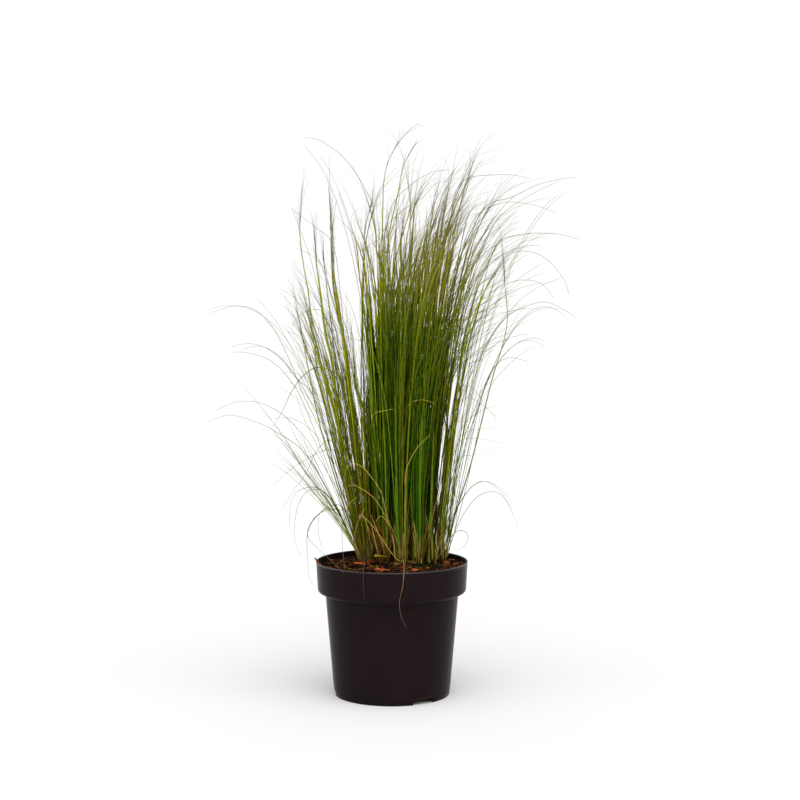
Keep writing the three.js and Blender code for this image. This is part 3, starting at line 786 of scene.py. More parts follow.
def make_litter(material):
    """Bark chips and crumbs that lie in the soil's surface, each a closed six-sided chip."""
    rng = np.random.default_rng(23)
    points, quads, caps, tints = [], [], [], []
    sides = len(CHIP_OUTLINE)

    def add_chip(x, y, z, length, width, thick, turns, colour):
        shape = CHIP * (length, width, thick)
        shape = shape + rng.normal(0, 0.06, shape.shape) * (length * 0.5, width, thick)
        start = len(points) * len(CHIP)
        points.append(shape @ turned(*turns).T + (x, y, z))
        for k in range(sides):
            n = (k + 1) % sides
            quads.append((start + k, start + n, start + sides + n, start + sides + k))
        low = list(range(start, start + sides))
        caps.append(low[::-1])
        caps.append([sides + k for k in low])
        shade = rng.uniform(0.65, 1.15)
        mottle = rng.uniform(0.85, 1.15, (len(CHIP), 1))
        tints.append(np.clip(np.tile(colour * shade, (len(CHIP), 1)) * mottle, 0, 1))

    edge = soil_edge(SOIL_LEVEL) - 2
    for kind, (count, bark_share, spans) in LITTER.items():
        for _ in range(count):
            reach, turn = edge * math.sqrt(rng.random()), rng.uniform(0, 2 * math.pi)
            x, y = reach * math.cos(turn), reach * math.sin(turn)
            colours = BARK_COLOURS if rng.random() < bark_share else SOIL_COLOURS
            colour = colours[rng.integers(len(colours))]
            size = [rng.uniform(*span) for span in spans]
            mossy = mossiness(x, y) > 0
            if mossy and kind != "crumb":
                continue
            if mossy:
                colour = MOSS_COLOURS[rng.integers(3)]
            if math.hypot(x, y) + size[0] * 0.4 > edge:
                continue
            tilt_x, tilt_y = rng.normal(0, 0.25, 2)
            z = float(soil_height(x, y)) + rng.uniform(0.3, 1.8)
            add_chip(x, y, z, *size, (tilt_x, tilt_y, rng.uniform(0, math.pi)), colour)
    for px, py, length, width, turn_deg, colour in FRONT_CHIPS:
        x, y = on_soil(px, py)
        z = float(soil_height(x, y)) + 1
        add_chip(x, y, z, length, width, 2, (0.15, 0.1, math.radians(turn_deg)), colour)
    add_chip(*LEANING_CHIP)
    faces = [np.array(quads), np.array(caps)]
    litter = mesh_object("bark_litter", np.concatenate(points), faces, np.concatenate(tints), smooth=False)
    litter.data.materials.append(material)
    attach(litter, "root")


# ---- Grass: the part's own blades ----


def spline(points, places):
    """A smooth curve through points, passed at even steps from 0 to 1, as three's centripetal curve does."""
    points = np.asarray(points, float)
    points = np.vstack([2 * points[0] - points[1], points, 2 * points[-1] - points[-2]])
    along = np.clip(np.asarray(places, float), 0, 1) * (len(points) - 3)
    first = np.minimum(along.astype(int), len(points) - 4)
    w = (along - first)[:, None]
    a, b, c, d = (points[first + k] for k in range(4))
    pairs = ((a, b), (b, c), (c, d))
    before, span, after = (np.linalg.norm(q - p, axis=1, keepdims=True) ** 0.5 for p, q in pairs)
    leave = ((b - a) / before - (c - a) / (before + span) + (c - b) / span) * span
    arrive = ((c - b) / span - (d - b) / (span + after) + (d - c) / after) * span
    return b + leave * w + (3 * (c - b) - 2 * leave - arrive) * w**2 + (2 * (b - c) + leave + arrive) * w**3


class Strand:
    """A blade, stem or awn of the part: a bent line and its thickness at both ends."""

    def __init__(self, kind, foot, bend, tip, foot_radius, tip_radius, segments):
        self.kind = kind
        self.foot, self.bend, self.tip = foot, bend, tip
        self.foot_radius, self.tip_radius = foot_radius, tip_radius
        places = np.array([(i / (segments - 0.35)) ** 0.85 for i in range(segments)] + [1.0])
        self.points = self.at(places)
        self.radii = foot_radius + (tip_radius - foot_radius) * np.minimum(places * 1.1, 1)

    def at(self, places):
        t = np.asarray(places, float)[:, None]
        return (1 - t) ** 2 * self.foot + 2 * (1 - t) * t * self.bend + t * t * self.tip

    def heading_at(self, t):
        way = 2 * (1 - t) * (self.bend - self.foot) + 2 * t * (self.tip - self.bend)
        return way / np.linalg.norm(way)


class DeadBlade(Strand):
    """A dead blade of the part, whose line is a curve through given points."""

    def __init__(self, through):
        self.through = through
        super().__init__("dead", through[0], None, through[-1], DEAD_RADIUS, DEAD_RADIUS, DEAD_SEGMENTS)

    def at(self, places):
        return spline(self.through, places)


def bent(foot, tip, share, height):
    bend = foot + (tip - foot) * share
    bend[2] = height
    return bend


def crown_top(bunch):
    return float(soil_height(bunch["x"], bunch["y"])) + CROWN_RISE


def root_at(bunch, off_x, off_y):
    x, y = bunch["x"] + off_x * ROOT_SPREAD, bunch["y"] + off_y * ROOT_SPREAD
    return np.array([x, y, crown_top(bunch) - ROOT_DEPTH])


def tip_at(random, bunch, lean, out, stray, height):
    """A tip that lies as far out as its bunch leans and its own way out leads, and strays at random."""
    x = bunch["x"] + bunch["lean_x"] * lean + out[0] + between(random, -stray, stray)
    y = bunch["y"] + bunch["lean_y"] * lean + out[1] + between(random, -stray, stray)
    return np.array([x, y, crown_top(bunch) + bunch["height"] * height])


def draw_blade(bunch, index, attempt):
    random = random_source(bunch["number"] * 1000003 + index * 1009 + attempt * 17 + 5)
    spread = math.sqrt((index + 0.5) / bunch["blades"])
    turn = index * GOLDEN_ANGLE
    off_x, off_y = math.cos(turn) * spread, math.sin(turn) * spread
    short = random() < SHORT_SHARE
    size = between(random, 0.42, 0.7) if short else between(random, 0.78, 1.06)
    reach = size**1.5
    fan = bunch["fan"] * CROWN_RADIUS * reach
    stray = STRAY * reach * (0.5 + attempt / BLADE_TRIES)
    foot = root_at(bunch, off_x, off_y)
    tip = tip_at(random, bunch, reach, (off_x * fan, off_y * fan), stray, size * (1 - 0.1 * spread))
    share = bunch["early"] + between(random, -0.08, 0.08)
    bend = bent(foot, tip, share, lerp(foot[2], tip[2], BEND_HEIGHT))
    segments = 3 if short or spread < 0.6 else 4
    return [Strand("blade", foot, bend, tip, BLADE_RADIUS, BLADE_TIP_RADIUS, segments)]


def draw_arch(bunch, arch, attempt):
    random = random_source(arch["x"] * 31 + arch["y"] * 57 + arch["z"] * 7 + attempt * 13 + 90001)
    stray = attempt * 0.5
    turn = between(random, 0, 2 * math.pi)
    away = math.sqrt(between(random, 0, 1))
    foot = root_at(bunch, math.cos(turn) * away, math.sin(turn) * away)
    tip = np.array([arch["x"], arch["y"], arch["z"] + between(random, -stray, stray)], float)
    share = arch["share"] + between(random, -0.004, 0.004) * attempt
    bend = bent(foot, tip, share, arch["z"] + arch["rise"] + between(random, -stray, stray))
    kind, radius = ("culm", STEM_RADIUS) if arch.get("stout") else ("arch", BLADE_RADIUS)
    return [Strand(kind, foot, bend, tip, radius, BLADE_TIP_RADIUS, 6)]


def draw_stem(bunch, stem, attempt):
    random = random_source(bunch["number"] * 7919 + stem * 131 + attempt * 29 + 70001)
    turn = between(random, 0, 2 * math.pi)
    off_x, off_y = math.cos(turn) * 0.7, math.sin(turn) * 0.7
    foot = root_at(bunch, off_x, off_y)
    stray = STRAY * (0.6 + attempt / BLADE_TRIES)
    tip = tip_at(random, bunch, 1.1, (off_x * 12, off_y * 12), stray, STEM_SHARE)
    bend = bent(foot, tip, bunch["early"], lerp(foot[2], tip[2], BEND_HEIGHT))
    main = Strand("stem", foot, bend, tip, STEM_RADIUS, AWN_RADIUS, 5)
    grown = [main]
    for i in range(AWN_COUNT):
        t = lerp(0.72, 0.96, i / (AWN_COUNT - 1))
        root = main.at([t])[0]
        out = turn + i * GOLDEN_ANGLE
        length = between(random, *AWN_LENGTH)
        end = root + main.heading_at(t) * length * 0.92
        end[0] += math.cos(out) * length * AWN_SPREAD
        end[1] += math.sin(out) * length * AWN_SPREAD
        bend = bent(root, end, 0.35, (root[2] + end[2]) / 2 + 4)
        grown.append(Strand("awn", root, bend, end, AWN_RADIUS, AWN_RADIUS, 2))
    return grown


def draw_dead_blade(bunch, dead):
    foot = root_at(bunch, 0.2, -0.8)
    rim_x = dead["rim_x"]
    rim_y = -math.sqrt(RIM_RADIUS**2 - rim_x**2)
    over_rim = POT_HEIGHT + DEAD_RADIUS + DEAD_CLEARANCE
    points = [
        foot,
        (lerp(foot[0], rim_x, 0.4), foot[1] - 12, over_rim + 5),
        (rim_x, rim_y + 14, over_rim + 2),
        (rim_x, rim_y - 1.5, over_rim - 1),
    ]
    points += [(x, rim_y - 2.6, POT_HEIGHT - drop) for x, drop in dead["hang"]]
    return DeadBlade(np.array(points))


def segment_gaps(a0, a1, b0, b1):
    """The least distance between each of the first segments and each of the second."""
    u, v, w = (a1 - a0)[:, None], (b1 - b0)[None], a0[:, None] - b0[None]
    a, b, c = (u * u).sum(-1), (u * v).sum(-1), (v * v).sum(-1)
    d, e = (u * w).sum(-1), (v * w).sum(-1)
    slant = a * c - b * b
    open_ = slant > 1e-9
    first = np.where(open_, np.clip((b * e - c * d) / np.where(open_, slant, 1), 0, 1), 0)
    t = np.clip((b * first + e) / c, 0, 1)
    s = np.clip((b * t - d) / a, 0, 1)
    gap = w + u * s[..., None] - v * t[..., None]
    return np.sqrt((gap * gap).sum(-1))


class Clump:
    """Grows the bunches by the part's rule, each strand clear of the others."""

    def __init__(self):
        self.bunches = [dict(bunch, number=i, strands=[]) for i, bunch in enumerate(BUNCHES)]
        self.start, self.end = np.zeros((0, 3)), np.zeros((0, 3))
        self.radius, self.owner = np.zeros(0), np.zeros(0, int)
        tops = [(b["x"], b["y"], crown_top(b)) for b in self.bunches]
        self.crown_top = np.array(tops, float)
        self.crown_foot = self.crown_top - (0, 0, CROWN_RISE + CROWN_DEPTH)

    def is_clear(self, strands, number):
        others = np.arange(len(self.bunches)) != number
        for strand in strands:
            p0, p1 = strand.points[:-1], strand.points[1:]
            crown_gaps = segment_gaps(p0[:1], p1[:1], self.crown_foot, self.crown_top)[0]
            if (crown_gaps[others] < CROWN_RADIUS + strand.foot_radius + 2 * BLADE_GAP).any():
                return False
            if len(self.start):
                gap = np.where(self.owner == number, OWN_GAP, BLADE_GAP)
                room = gap[None] + strand.radii[:-1, None] + self.radius[None]
                if (segment_gaps(p0, p1, self.start, self.end) < room).any():
                    return False
        return True

    def grow(self, bunch, draw):
        for attempt in range(BLADE_TRIES):
            strands = draw(attempt)
            if self.is_clear(strands, bunch["number"]):
                self.keep(bunch, strands)
                return

    def keep(self, bunch, strands):
        bunch["strands"] += strands
        for strand in strands:
            self.start = np.vstack([self.start, strand.points[:-1]])
            self.end = np.vstack([self.end, strand.points[1:]])
            self.radius = np.append(self.radius, strand.radii[:-1])
            self.owner = np.append(self.owner, np.full(len(strand.points) - 1, bunch["number"]))

    def grow_all(self):
        for dead in DEAD_BLADES:
            bunch = self.bunches[dead["bunch"]]
            self.keep(bunch, [draw_dead_blade(bunch, dead)])
        for arch in ARCHES:
            bunch = self.bunches[arch["bunch"]]
            self.grow(bunch, lambda attempt: draw_arch(bunch, arch, attempt))
        for bunch in self.bunches:
            for stem in range(bunch["stems"]):
                self.grow(bunch, lambda attempt: draw_stem(bunch, stem, attempt))
        for index in range(max(b["blades"] for b in self.bunches)):
            for bunch in self.bunches:
                if index < bunch["blades"]:
                    self.grow(bunch, lambda attempt: draw_blade(bunch, index, attempt))
        return self.bunches


# ---- Grass: the fine blades ----

FOOT_SPREAD = 0.82
REACH_LIMIT = 213
TOP_LIMIT = 626

SHEATH = linear(206, 192, 84)
GREEN_DARK = linear(8, 29, 0)
GREEN_MID = linear(34, 94, 2)
GREEN_BRIGHT = linear(158, 200, 46)
OLIVE_DARK = linear(42, 48, 0)
OLIVE_BRIGHT = linear(182, 183, 12)
TOP_GREEN = linear(190, 190, 36)
TIP_GREY = linear(110, 106, 60)
HAIR_GREY = linear(118, 110, 64)
PLUME_GREY = linear(132, 125, 98)
GOLD = linear(200, 150, 40)
BROWN = linear(122, 80, 30)
DEAD_TANS = {5: linear(178, 132, 100), 0: linear(98, 80, 70)}
DRY_COLOURS = {
    "brown": BROWN,
    "gold": linear(226, 194, 100),
    "curl": linear(166, 142, 30),
    "straw": linear(206, 198, 150),
    "sheath": linear(206, 158, 98),
    "husk": linear(128, 78, 30),
}

# Single strands that catch the eye. seen lists the pixels that a strand passes in the picture's view, from
# low to high, out is how far behind the pot's axis its end is, and it starts from the foot of its bunch.
# Most were read from the photo, apart from their low ends, which hide among others and are guessed.
# The straight brown, husk, sheath, straw, broad and bright rows only mark where such a colour shows.
LONE_STRANDS = table(
    "kind bunch out seen",
    # stout stems of the left group
    ("stout", 1, 10, [(355, 450), (351, 412), (346, 361),
        (342, 331), (334, 290), (332, 262), (331, 232), (330, 211)]),
    ("stout", 0, -5, [(341, 450), (332, 361), (326, 336), (320, 290), (317, 268), (315, 240)]),
    ("stout", 1, 6, [(357, 455), (353, 412), (348, 362),
        (343, 331), (336, 290), (333.5, 262), (332.5, 232)]),
    ("culm", 1, 20, [(343, 450), (338, 390), (332, 331), (327, 290), (323, 257)]),
    ("culm", 0, -20, [(332, 428), (318, 372), (308, 290), (304, 268), (300, 232), (301, 206)]),
    ("culm", 0, -30, [(322, 433), (312, 387), (305, 351), (298, 315)]),
    ("culm", 0, -10, [(346, 470), (337, 420), (326, 380), (316, 350), (309, 320)]),
    ("hair", 1, 10, [(352, 420), (343, 330), (333, 262), (330, 197), (329, 155)]),
    ("hair", 1, 0, [(345, 430), (330, 340), (319, 293), (310, 257), (299, 227), (291, 205)]),
    ("hair", 1, 30, [(348, 400), (341, 300), (331, 241), (315, 227), (292, 209)]),
    # arcs out to the left
    ("hair", 1, -20, [(343, 500), (325, 440), (302, 392),
        (289, 359), (271, 325), (255, 310), (235, 306), (208, 314)]),
    ("hair", 1, 10, [(343, 500), (330, 450), (312, 393), (295, 377), (278, 355), (259, 346), (241, 350)]),
    ("hair", 0, -30, [(340, 500), (322, 450), (295, 387), (271, 361), (249, 353), (231, 352)]),
    ("hair", 0, -50, [(335, 505), (302, 450), (278, 433), (261, 424), (229, 415), (206, 423)]),
    ("hair", 1, 5, [(345, 450), (336, 370), (331, 330), (322, 311), (307, 311), (296, 319), (291, 329)]),
    ("leaf", 0, -10, [(350, 470), (343, 400), (331, 371),
        (315, 368), (302, 377), (291, 393), (281, 414), (271, 430)]),
    # The fan of hairs at 45 degrees, low on the left. The first two wiry rows and the hairs were read from
    # the photo. The other wiry rows vary them, to make the fan about as dense as it is there.
    ("wiry", 0, -40, [(346, 528), (330, 505), (310, 478), (292, 450), (275, 425), (261, 407), (244, 387)]),
    ("wiry", 0, -50, [(346, 530), (330, 503), (308, 476), (290, 452), (265, 420)]),
    ("wiry", 0, -60, [(347, 536), (325, 502), (296, 470), (275, 449)]),
    ("wiry", 0, -66, [(350, 542), (322, 506), (288, 474), (270, 462)]),
    ("wiry", 1, -10, [(345, 520), (322, 485), (305, 450), (293, 420)]),
    ("wiry", 0, -30, [(349, 534), (333, 498), (312, 455), (298, 432)]),
    ("wiry", 1, -20, [(348, 536), (326, 500), (300, 458), (283, 432)]),
    ("wiry", 0, -44, [(350, 540), (330, 512), (306, 486), (281, 462)]),
    ("wiry", 0, -54, [(345, 530), (318, 493), (299, 464), (280, 441)]),
    ("wiry", 1, 0, [(347, 528), (334, 500), (318, 466), (306, 440)]),
    ("wiry", 0, -34, [(349, 538), (331, 512), (304, 480), (290, 466), (277, 455)]),
    ("wiry", 0, -26, [(350, 534), (334, 506), (314, 474), (300, 446), (290, 428)]),
    ("wiry", 1, -14, [(348, 532), (330, 494), (312, 462), (296, 437), (286, 414)]),
    ("wiry", 0, -62, [(347, 530), (320, 490), (297, 459), (284, 436), (266, 414)]),
    ("wiry", 1, 10, [(346, 520), (330, 478), (318, 448), (303, 416), (295, 392)]),
    ("wiry", 0, -48, [(346, 534), (322, 498), (306, 472), (285, 446)]),
    ("hair", 0, -58, [(345, 500), (340, 456), (330, 440), (318, 449), (306, 473), (292, 493), (280, 513)]),
    ("hair", 0, -50, [(348, 490), (341, 454), (327, 450), (307, 459), (290, 470), (272, 487)]),
    ("wiry", 1, -30, [(346, 500), (326, 450), (309, 428), (290, 418), (272, 419)]),
    ("wiry", 0, -52, [(348, 537), (327, 508), (303, 479), (282, 452)]),
    ("wiry", 0, -46, [(347, 533), (325, 499), (303, 468), (288, 447), (271, 428)]),
    ("wiry", 1, -8, [(346, 526), (327, 489), (310, 455), (300, 428)]),
    ("wiry", 0, -38, [(349, 535), (329, 502), (309, 469), (296, 450)]),
    ("wiry", 0, -60, [(347, 536), (320, 501), (300, 477), (285, 466)]),
    # loops that hang over the rim
    ("hair", 0, -70, [(346, 512), (322, 512), (309, 526),
        (308, 537), (315, 546), (326, 556), (338, 567), (345, 574)]),
    ("hair", 0, -48, [(340, 505), (318, 515), (308, 532), (307, 545), (308, 559), (309, 576), (314, 587)]),
    ("hair", 0, -60, [(350, 515), (343, 522), (342, 535), (343, 553), (345, 570)]),
    ("hair", 8, -30, [(452, 536), (458, 531), (464, 531), (468, 536), (466, 544), (460, 549), (454, 551)]),
    ("hair", 8, -20, [(455, 532), (465, 512), (476, 498),
        (488, 492), (498, 493), (506, 500), (512, 512), (519, 529)]),
    ("hair", 0, -60, [(345, 525), (330, 498), (318, 488), (306, 488), (296, 493), (290, 508), (290, 530)]),
    ("hair", 0, -56, [(345, 526), (332, 502), (320, 490),
        (308, 491), (299, 503), (295, 522), (295, 541), (302, 559)]),
    ("hair", 0, -50, [(346, 527), (336, 512), (326, 508), (320, 513), (318, 526), (320, 541), (323, 550)]),
    # golden dead blades across the foot
    ("gold", 0, -45, [(349, 500), (345, 474), (351, 464),
        (361, 466), (372, 478), (381, 492), (386, 512), (391, 528)]),
    ("gold", 1, -50, [(350, 510), (347, 488), (353, 485),
        (362, 489), (373, 497), (381, 508), (388, 522), (395, 533)]),
    ("gold", 1, -55, [(355, 530), (357, 519), (362, 516),
        (372, 525), (381, 537), (390, 551), (398, 560), (404, 562)]),
    ("brown", 0, -36, [(356, 535), (356, 522), (361, 512), (364, 516), (368, 530), (371, 546)]),
    ("brown", 1, -36, [(362, 540), (360, 500), (356, 460), (352, 420)]),
    ("brown", 3, -36, [(374, 545), (370, 510), (366, 470), (362, 430), (361, 390)]),
    ("brown", 5, -60, [(408, 540), (406, 500), (403, 460), (404, 430), (410, 405)]),
    ("gold", 5, -70, [(405, 500), (406, 472), (410, 460), (418, 447), (431, 434)]),
    ("gold", 11, -60, [(378, 480), (372, 430), (374, 414), (383, 411), (394, 409)]),
    ("gold", 9, -60, [(402, 480), (402, 430), (407, 406), (415, 401), (424, 400), (436, 404)]),
    ("gold", 0, -48, [(343, 513), (348, 506), (352, 501), (357, 497)]),
    ("gold", 0, -52, [(355, 540), (356, 529), (359, 519), (363, 512), (366, 508)]),
    ("gold", 3, -52, [(372, 553), (371, 545), (369, 536), (367, 526), (364, 517), (362, 514)]),
    ("gold", 4, -56, [(391, 534), (389, 526), (386, 521), (383, 517), (379, 517), (376, 522)]),
    ("gold", 4, -50, [(384, 552), (381, 540), (377, 530), (373, 520), (371, 515)]),
    ("brown", 3, -34, [(377, 548), (375, 535), (371, 520), (368, 500)]),
    ("brown", 3, -36, [(380, 548), (379, 535), (378, 520), (374, 490)]),
    ("brown", 4, -40, [(384, 550), (385, 535), (384, 515), (381, 485)]),
    ("brown", 4, -42, [(388, 550), (388, 538), (386, 520), (382, 495)]),
    ("husk", 3, -36, [(380, 546), (379, 536), (376, 522)]),
    ("husk", 4, -36, [(385, 548), (384, 539), (380, 526)]),
    ("husk", 4, -34, [(381, 548), (380, 541), (375, 530)]),
    # broad green blades
    ("broad", 4, -46, [(387, 545), (386, 500), (385, 455), (383, 415), (381, 375), (380, 345)]),
    ("broad", 5, -56, [(399, 550), (397, 500), (396, 450), (395, 400), (394, 365)]),
    ("broad", 6, -52, [(419, 550), (419, 520), (419, 480), (420, 440), (424, 400), (427, 370)]),
    ("broad", 7, -36, [(432, 550), (431, 525), (431, 500), (432, 470), (434, 430)]),
    ("curl", 4, -30, [(388, 557), (384, 556.5), (379, 556), (374.6, 556)]),
    # pale old sheaths and straws at the foot
    ("sheath", 5, -24, [(402, 557), (403, 545), (403.5, 533)]),
    ("sheath", 5, -30, [(395, 557), (394, 546), (392, 534)]),
    ("sheath", 6, -20, [(416, 557), (415, 545), (413, 532)]),
    ("sheath", 4, -20, [(378, 552), (375, 540), (371, 524)]),
    ("straw", 0, -30, [(356, 546), (349, 534), (341, 521), (333, 510), (322, 497)]),
    ("straw", 0, -40, [(359, 552), (351, 540), (342, 528), (334, 519)]),
    ("straw", 1, 0, [(352, 532), (345, 516), (340, 500), (335, 480)]),
    ("straw", 8, 0, [(446, 548), (447, 530), (449, 510), (453, 480)]),
    ("straw", 8, -10, [(441, 548), (441, 530), (443, 505), (446, 480)]),
    ("straw", 7, -20, [(437, 548), (436, 540), (436.5, 531)]),
    ("straw", 8, 10, [(449, 552), (452, 530), (457, 505), (462, 480)]),
    # bright green blades in front
    ("bright", 7, -24, [(429, 540), (429, 525), (431, 505), (433, 480)]),
    ("bright", 5, -40, [(397, 530), (396, 500), (395.5, 465), (395, 430)]),
    ("bright", 6, -40, [(420, 530), (420, 505), (420, 480), (421, 455), (423, 420)]),
    ("bright", 4, -40, [(386, 530), (385.5, 480), (384, 430), (383, 385)]),
    # the top of the middle
    ("hair", 11, 30, [(378, 330), (377, 260), (372, 203), (365, 189),
        (357, 175), (345, 159), (331, 147), (319, 140), (303, 137)]),
    ("culm", 3, 0, [(366, 450), (363, 360), (363, 300), (364, 273), (366, 242), (370, 222), (376, 201)]),
    ("culm", 3, -20, [(362, 450), (361, 370), (362, 310), (363, 262), (366, 225), (374, 196)]),
    ("culm", 4, -20, [(383, 400), (381, 283), (382, 252), (383, 211), (384, 181), (389, 160), (400, 140)]),
    ("culm", 9, 0, [(392, 400), (389, 283), (388, 242), (392, 220), (398, 193), (404, 165), (418, 140)]),
    ("culm", 11, 20, [(398, 400), (392, 283), (398, 250), (405, 227), (410, 205), (407, 178)]),
    ("hair", 4, -30, [(381, 300), (383, 232), (402, 211), (423, 197), (436, 184), (450, 181)]),
    ("hair", 9, 0, [(384, 300), (386, 240), (392, 205), (412, 184), (433, 172), (450, 170)]),
    # arcs out to the right
    ("hair", 13, 20, [(452, 330), (470, 240), (486, 206), (512, 197), (537, 185), (561, 179), (578, 177)]),
    ("hair", 7, 0, [(455, 330), (469, 268), (481, 248), (495, 223), (507, 210), (532, 194), (562, 180)]),
    ("hair", 12, 20, [(448, 330), (460, 260), (473, 221),
        (485, 209), (502, 203), (514, 202), (537, 206), (557, 213)]),
    ("hair", 10, 0, [(440, 330), (448, 240), (459, 185), (473, 177), (491, 175), (512, 175), (533, 179)]),
    ("hair", 8, 10, [(465, 400), (480, 300), (498, 243), (512, 236), (537, 233), (563, 235), (580, 240)]),
    ("hair", 8, 20, [(465, 420), (485, 320), (500, 264),
        (512, 253), (524, 251), (542, 256), (563, 278), (571, 300)]),
    ("hair", 7, -20, [(460, 430), (475, 350), (491, 293), (509, 283), (522, 280), (540, 283), (556, 300)]),
    ("hair", 7, -30, [(460, 450), (480, 360), (505, 318), (522, 308), (545, 302), (568, 312), (576, 318)]),
    ("hair", 12, 0, [(440, 300), (455, 220), (468, 185), (470, 165), (470, 148)]),
    ("culm", 8, -10, [(448, 540), (458, 506), (471, 464),
        (484, 412), (492, 380), (507, 325), (505, 285), (503, 250)]),
    ("hair", 8, -30, [(462, 480), (476, 420), (492, 370), (508, 358), (530, 362)]),
    # hairs that fill the right side to about the photo's density, not read one by one
    ("hair", 8, 0, [(452, 530), (460, 490), (468, 450), (476, 410), (484, 375)]),
    ("hair", 8, 20, [(450, 535), (456, 500), (463, 460), (470, 420), (480, 380), (493, 345)]),
    ("hair", 8, -20, [(453, 525), (464, 480), (474, 430), (481, 395)]),
    ("hair", 8, 10, [(455, 530), (470, 470), (478, 430), (482, 400)]),
    ("hair", 7, -10, [(448, 540), (454, 500), (461, 455), (472, 400), (490, 340), (520, 300)]),
    # fine hairs that cross low on the right
    ("wisp", 8, -20, [(449, 530), (451, 490), (454, 464), (461, 457), (473, 455), (487, 452), (500, 449)]),
    ("wisp", 8, -30, [(450, 520), (454, 470), (458, 444), (464, 439), (481, 439), (500, 443), (513, 447)]),
    ("wisp", 8, 10, [(450, 520), (454, 470), (457, 444), (463, 434), (481, 429), (500, 427), (516, 431)]),
    ("wisp", 7, -40, [(440, 520), (447, 450), (456, 400),
        (462, 386), (469, 386), (478, 394), (487, 408), (500, 419)]),
    ("wisp", 7, -44, [(440, 520), (450, 450), (459, 412),
        (465, 399), (471, 398), (481, 404), (491, 412), (498, 424)]),
    ("wisp", 8, 0, [(451, 520), (455, 470), (459, 440), (464, 425),
        (473, 416), (481, 411), (487, 408), (500, 405)]),
    # plumes at the top of the right half
    ("culm", 12, 10, [(440, 400), (446, 300), (452, 250), (458, 215), (466, 185), (472, 165)]),
    ("culm", 10, 0, [(430, 400), (436, 300), (446, 240), (455, 200), (466, 172)]),
    ("culm", 13, 10, [(450, 400), (462, 290), (474, 240), (485, 215), (497, 200)]),
    ("culm", 9, 6, [(404, 400), (402, 300), (405, 250), (412, 215), (424, 186)]),
)


# The heights between which the blades turn from green to olive, those at the foot of the clump that stay
# greenest, and those of the old sheaths.
TURN_HEIGHTS = (385, 520)
LOW_HEIGHTS = (170, 340)
SHEATH_HEIGHTS = (SOIL_LEVEL + 4, SOIL_LEVEL + 45)
# Blades of a lower tone than this lie between dark and middle green, the others between middle and bright.
MIDDLE_TONE = 0.6


def ease(values, low, high):
    x = np.clip((values - low) / (high - low), 0, 1)
    return x * x * (3 - 2 * x)


def rising(steps, low, high):
    """A share for each point of a strand, which rises from 0 to 1 between two places along it."""
    return ease(np.linspace(0, 1, steps), low, high)[None, :, None]


def blade_tints(tone, lines, olive, tip_grey=0.3):
    """Colours along blades: sheath at the foot, green or olive by tone, paler near the top of the clump."""
    heights = lines[..., 2:]
    tone, olive = tone[:, None, None], olive[:, None, None]
    dark = lerp(GREEN_DARK, GREEN_MID, tone / MIDDLE_TONE)
    bright = lerp(GREEN_MID, GREEN_BRIGHT, (tone - MIDDLE_TONE) / (1 - MIDDLE_TONE))
    high = ease(heights, *TURN_HEIGHTS)
    low = 1 - ease(heights, *LOW_HEIGHTS)
    turned_olive = np.clip(olive * (1 - 0.7 * low * (1 - olive)) + 0.75 * high, 0, 1)
    dry = lerp(OLIVE_DARK, OLIVE_BRIGHT, tone) * (1 - 0.3 * low)
    colour = lerp(np.where(tone < MIDDLE_TONE, dark, bright), dry, turned_olive)
    colour = lerp(colour, lerp(OLIVE_DARK, TOP_GREEN, 0.1 + 0.9 * tone), high * 0.45)
    foot = 1 - ease(heights, *SHEATH_HEIGHTS)
    colour = lerp(colour, SHEATH * (0.3 + 1.0 * tone), foot * 0.8)
    return lerp(colour, TIP_GREY, rising(lines.shape[1], 0.8, 1.0) * tip_grey)


def inside(lines):
    """Which strands stay within the plant's own size."""
    wide = np.abs(lines[..., :2]).max(axis=(1, 2)) < REACH_LIMIT
    return wide & (lines[..., 2].max(axis=1) < TOP_LIMIT)


# The clear partings between the tufts, placed from the photo: how wide each is from its middle,
# tuned until the gaps looked alike, and the pixels that it passes, from high to low.
PARTINGS = [
    (2.7, [(460, 362), (454, 385), (451, 404), (448, 421), (445, 436)]),
    (2.7, [(448, 416), (444.5, 436), (442.6, 452), (440.7, 467), (438.9, 482), (437.7, 498), (436.4, 510)]),
    (1.6, [(466, 385), (461, 420), (457, 450), (453, 480),
        (450.5, 500), (448, 515), (445, 530), (443.6, 552)]),
    (1.3, [(339, 376), (343.5, 412), (346, 429), (349.6, 452),
        (353.5, 466), (356, 476), (359.6, 496), (364, 514)]),
    (1.7, [(352, 356), (356, 392), (359, 411), (361, 426), (363, 462), (365, 474)]),
    (1.2, [(325, 385), (330, 405), (334, 420), (338, 438), (345, 462)]),
    (1.7, [(312, 362), (319, 390), (324.4, 410), (328, 426),
        (331, 444), (334, 461), (338, 476), (348, 507)]),
    (1.3, [(318, 300), (324, 330), (330, 360), (336, 390)]),
    (4.2, [(353, 232), (355.5, 262), (356.5, 300), (357, 330), (358.5, 360), (361, 390), (362, 405)]),
    (0.9, [(396, 225), (398, 250), (402, 280), (404, 310)]),
    (0.9, [(380, 215), (378, 240), (376, 270), (376, 300)]),
    (0.9, [(448, 240), (442, 270), (438, 300), (436, 330)]),
]
PARTING_FADE = 16
PARTING_REACH = 3.4


